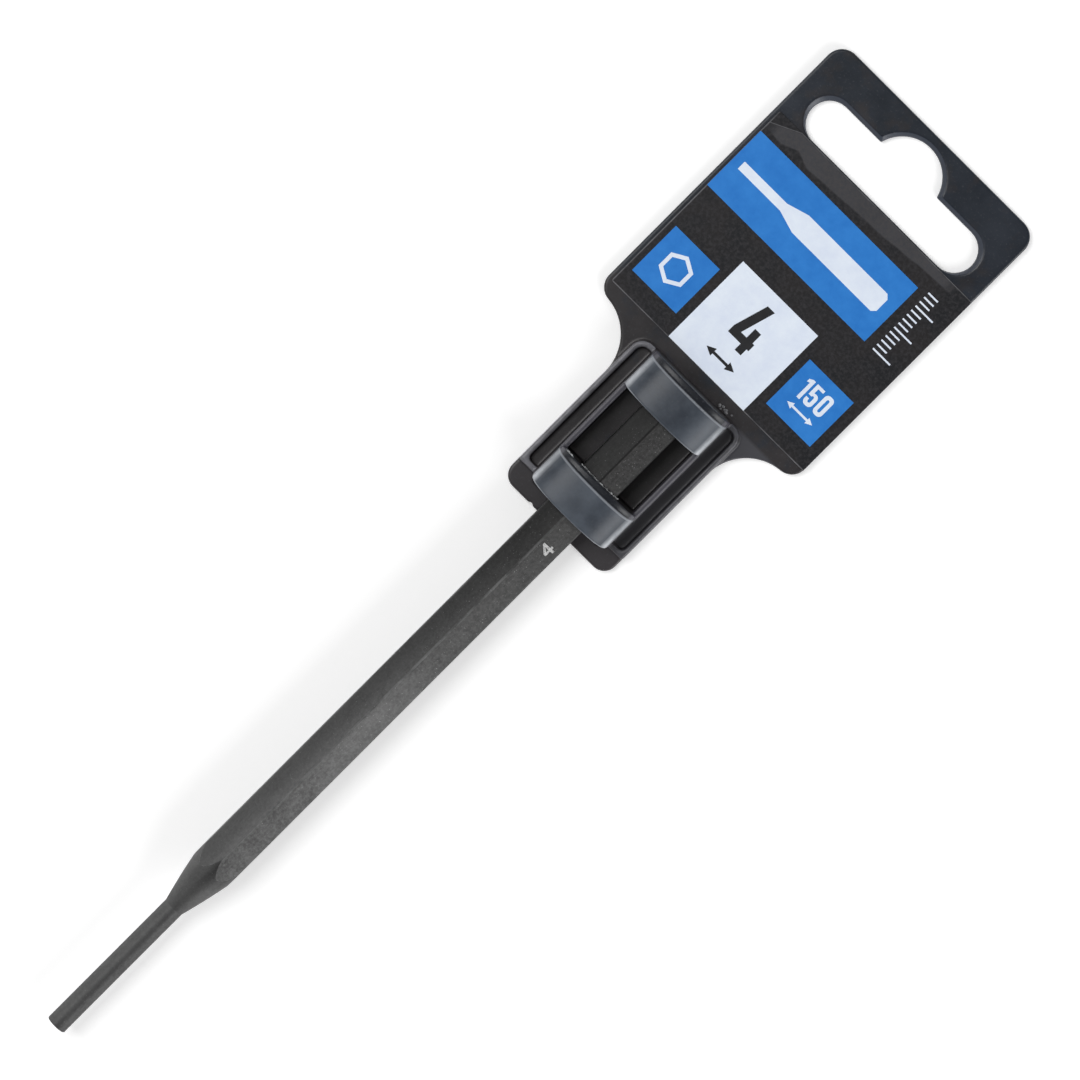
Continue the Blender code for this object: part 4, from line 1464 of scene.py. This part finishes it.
def film_black():
    """Near-black film: print noise, a lifted greyish zone along its top, painted highlights along its left
    and foot edges, and a pale line along its crease.
    """
    material, tree, shader = new_material("film_black", 0.38, specular=0.25)
    across = coordinate(tree, "X")
    up = coordinate(tree, "Y")
    fine = noise(tree, 0.0006, 3.0, 0.7)
    clouds = noise(tree, 0.006)
    tone = mix(spread(clouds, 0.38, 0.60), (0.0065, 0.0072, 0.0095), (0.0125, 0.0110, 0.0120))
    black = mix(spread(fine, 0.42, 0.68), tone, (0.026, 0.025, 0.028))

    below_top = LABEL_HIGH.y - up
    wave = spread(noise(tree, 0.009, 1.0, stretch=(1, 0.1, 1)), 0.3, 0.7, -LIFTED_WAVE, LIFTED_WAVE)
    hump = spread(abs(across - LIFTED_HUMP_X), 0.0, LIFTED_HUMP_HALF, LIFTED_HUMP_RISE, 0.0)
    slope = spread(across, LIFTED_SLOPE_LEFT, LABEL_HIGH.x, *LIFTED_DEPTHS)
    past_crease = below_top - spread(across, LABEL_LOW.x, LABEL_LOW.x + CREASE_WIDTH, *CREASE_DEPTHS)
    right_end = spread(across, *(LABEL_HIGH.x - spare for spare in LIFTED_RIGHT_SPARES), 1.0, 0.0)
    left_end = spread(across, *(LABEL_LOW.x + spare for spare in LIFTED_LEFT_SPARES))
    lifted = spread(slope + wave - hump - below_top, *LIFTED_FADE)
    lifted = lifted * spread(past_crease, 0.0, CREASE_FADE) * right_end * left_end
    lifted_colour = mix(clouds, (0.033, 0.034, 0.039), (0.056, 0.057, 0.065))
    lifted_colour = mix(spread(fine, 0.35, 0.75, 0.0, 0.5), lifted_colour, (0.075, 0.066, 0.064))
    colour = mix(lifted, black, lifted_colour)

    crease = within(past_crease, *CREASE_LINE, CREASE_LINE_BLUR)
    # Painted highlights: pale lines along the film's left and foot edges; the crease gets a pale line too.
    left_edge = spread(across, LABEL_LOW.x + FILM_EDGE_WIDTH, LABEL_LOW.x + 2 * FILM_EDGE_WIDTH, 1.0, 0.0)
    foot_edge = spread(up, LABEL_LOW.y + FILM_EDGE_WIDTH, LABEL_LOW.y + 2 * FILM_EDGE_WIDTH, 1.0, 0.0)
    uneven = spread(noise(tree, 0.003, 2.0), 0.35, 0.65, 0.35, 0.9)
    colour = mix(maximum(maximum(left_edge, foot_edge), crease) * uneven, colour, (0.15, 0.15, 0.16))
    feed(shader.inputs["Base Color"], colour)
    feed(shader.inputs["Roughness"], spread(lifted, 0, 1, 0.44, 0.34))
    rough_surface(shader, fine, 0.00001, 0.4)
    return material


def printed_ink(name, first, second, roughness):
    """Ink on film, a little uneven."""
    material, tree, shader = new_material(name, roughness, specular=0.25)
    clouds = spread(noise(tree, 0.0035, 4.0, 0.65), 0.35, 0.65)
    feed(shader.inputs["Base Color"], mix(clouds, first, second))
    rough_surface(shader, noise(tree, 0.0006, 2.0), 0.000006, 0.4)
    return material


def floor_paper():
    """White backdrop that keeps the shadow and reads white to the camera and to reflections."""
    material, tree, shader = new_material("floor_paper", 0.9, specular=0.0)
    feed(shader.inputs["Base Color"], mix(noise(tree, 0.2, 2.0), grey(0.93), grey(0.95)))
    path = add_node(tree, "ShaderNodeLightPath")
    seen = maximum(Signal(path.outputs["Is Camera Ray"]), Signal(path.outputs["Is Glossy Ray"]))
    seen = maximum(seen, Signal(path.outputs["Is Transmission Ray"]))
    glow = add_node(tree, "ShaderNodeEmission", {"Color": (1, 1, 1, 1)})
    feed(glow.inputs["Strength"], seen * FLOOR_LIFT)
    both = add_node(tree, "ShaderNodeAddShader")
    wire(
        (shader, "BSDF", both, 0),
        (glow, "Emission", both, 1),
        (both, "Shader", tree.nodes["Material Output"], "Surface"),
    )
    return material


# Stage


def make_floor():
    """A wide level floor just under the part."""
    half = FLOOR_SIZE / 2
    floor = add_piece("floor", level_face("floor", (-half, -half), (half, half), FLOOR_Z))
    floor.data.materials.append(floor_paper())


def make_world():
    """Dim overhead and bright low down, most of all at both sides, as between two long soft panels."""
    world = bpy.data.worlds.new("studio")
    bpy.context.scene.world = world
    world.use_nodes = True
    tree = world.node_tree
    separate = add_node(tree, "ShaderNodeSeparateXYZ")
    wire((add_node(tree, "ShaderNodeTexCoord"), "Generated", separate, "Vector"))
    low_down = spread(Signal(separate.outputs["Z"]), GLOW_TOP, GLOW_FULL)
    across = abs(Signal(separate.outputs["X"]))
    glow = low_down * spread(across, *GLOW_SIDEWAYS, LOW_END_GLOW, LOW_SIDE_GLOW)
    background = tree.nodes["Background"]
    background.inputs["Color"].default_value = (1, 1, 1, 1)
    feed(background.inputs["Strength"], glow + OVERHEAD_GLOW)


def make_light(name, azimuth_deg, elevation_deg, distance, size, power):
    """A soft square light that faces the part; its azimuth runs from +X towards +Y."""
    azimuth = math.radians(azimuth_deg)
    elevation = math.radians(elevation_deg)
    towards = Vector((
        math.cos(azimuth) * math.cos(elevation), math.sin(azimuth) * math.cos(elevation), math.sin(elevation)
    ))
    data = bpy.data.lights.new(name, "AREA")
    data.size = size
    data.energy = power
    light = bpy.data.objects.new(name, data)
    light.location = Vector(CAMERA_TARGET) + towards * distance
    light.rotation_euler = towards.to_track_quat("Z", "Y").to_euler()
    bpy.context.scene.collection.objects.link(light)


def make_camera():
    """Seen from above, a little from the head's side, with the punch's tip at the lower left."""
    data = bpy.data.cameras.new("camera")
    data.type = "PERSP"
    data.sensor_width = SENSOR_WIDTH
    data.lens = LENS
    data.clip_start = 0.01
    data.clip_end = 20.0
    tilt_head = math.radians(CAMERA_TILT_TO_HEAD_DEG)
    tilt_left = math.radians(CAMERA_TILT_TO_LEFT_DEG)
    backward = Vector((-math.tan(tilt_left), math.tan(tilt_head), 1)).normalized()
    turn = math.radians(CAMERA_TURN_DEG)
    rightward = Vector((math.cos(turn), math.sin(turn), 0))
    upward = backward.cross(rightward).normalized()
    rightward = upward.cross(backward)
    camera = bpy.data.objects.new("camera", data)
    rotation = Matrix((rightward, upward, backward)).transposed().to_4x4()
    camera.matrix_world = Matrix.Translation(Vector(CAMERA_TARGET) + backward * CAMERA_DISTANCE) @ rotation
    bpy.context.scene.collection.objects.link(camera)
    bpy.context.scene.camera = camera


def main():
    """Every piece, then the floor, the light and the camera."""
    plastic = moulded_plastic()
    flash = torn_plastic("pale_flash", (0.06, 0.065, 0.07), (0.42, 0.43, 0.44))
    crumbs = torn_plastic("grey_crumbs", (0.05, 0.05, 0.055), (0.20, 0.20, 0.21))
    make_hanger_moulding(plastic)
    make_lip_flash("lip_flash", lip_hole_edge(), FLASH_COUNT, flash)
    make_lip_flash("lip_flash_crumbs", lip_crown_edge(), FLASH_CRUMB_COUNT, flash)
    make_gate_specks(crumbs)
    make_punch(black_oxide_steel(), rubbed_steel())
    make_size_mark(laser_mark())
    white = printed_ink("ink_white", (0.73, 0.80, 0.93), (0.80, 0.87, 0.97), 0.4)
    make_label(
        film_black(),
        printed_ink("ink_blue", (0.016, 0.178, 0.575), (0.026, 0.215, 0.640), 0.4),
        white,
        printed_ink("ink_black", (0.010, 0.010, 0.012), (0.018, 0.018, 0.020), 0.45),
    )
    make_label_ticks(white)
    make_floor()
    make_world()
    make_light("left_light", *LEFT_LIGHT)
    make_light("right_light", *RIGHT_LIGHT)
    make_camera()
    bpy.context.scene.view_settings.view_transform = "Standard"


main()
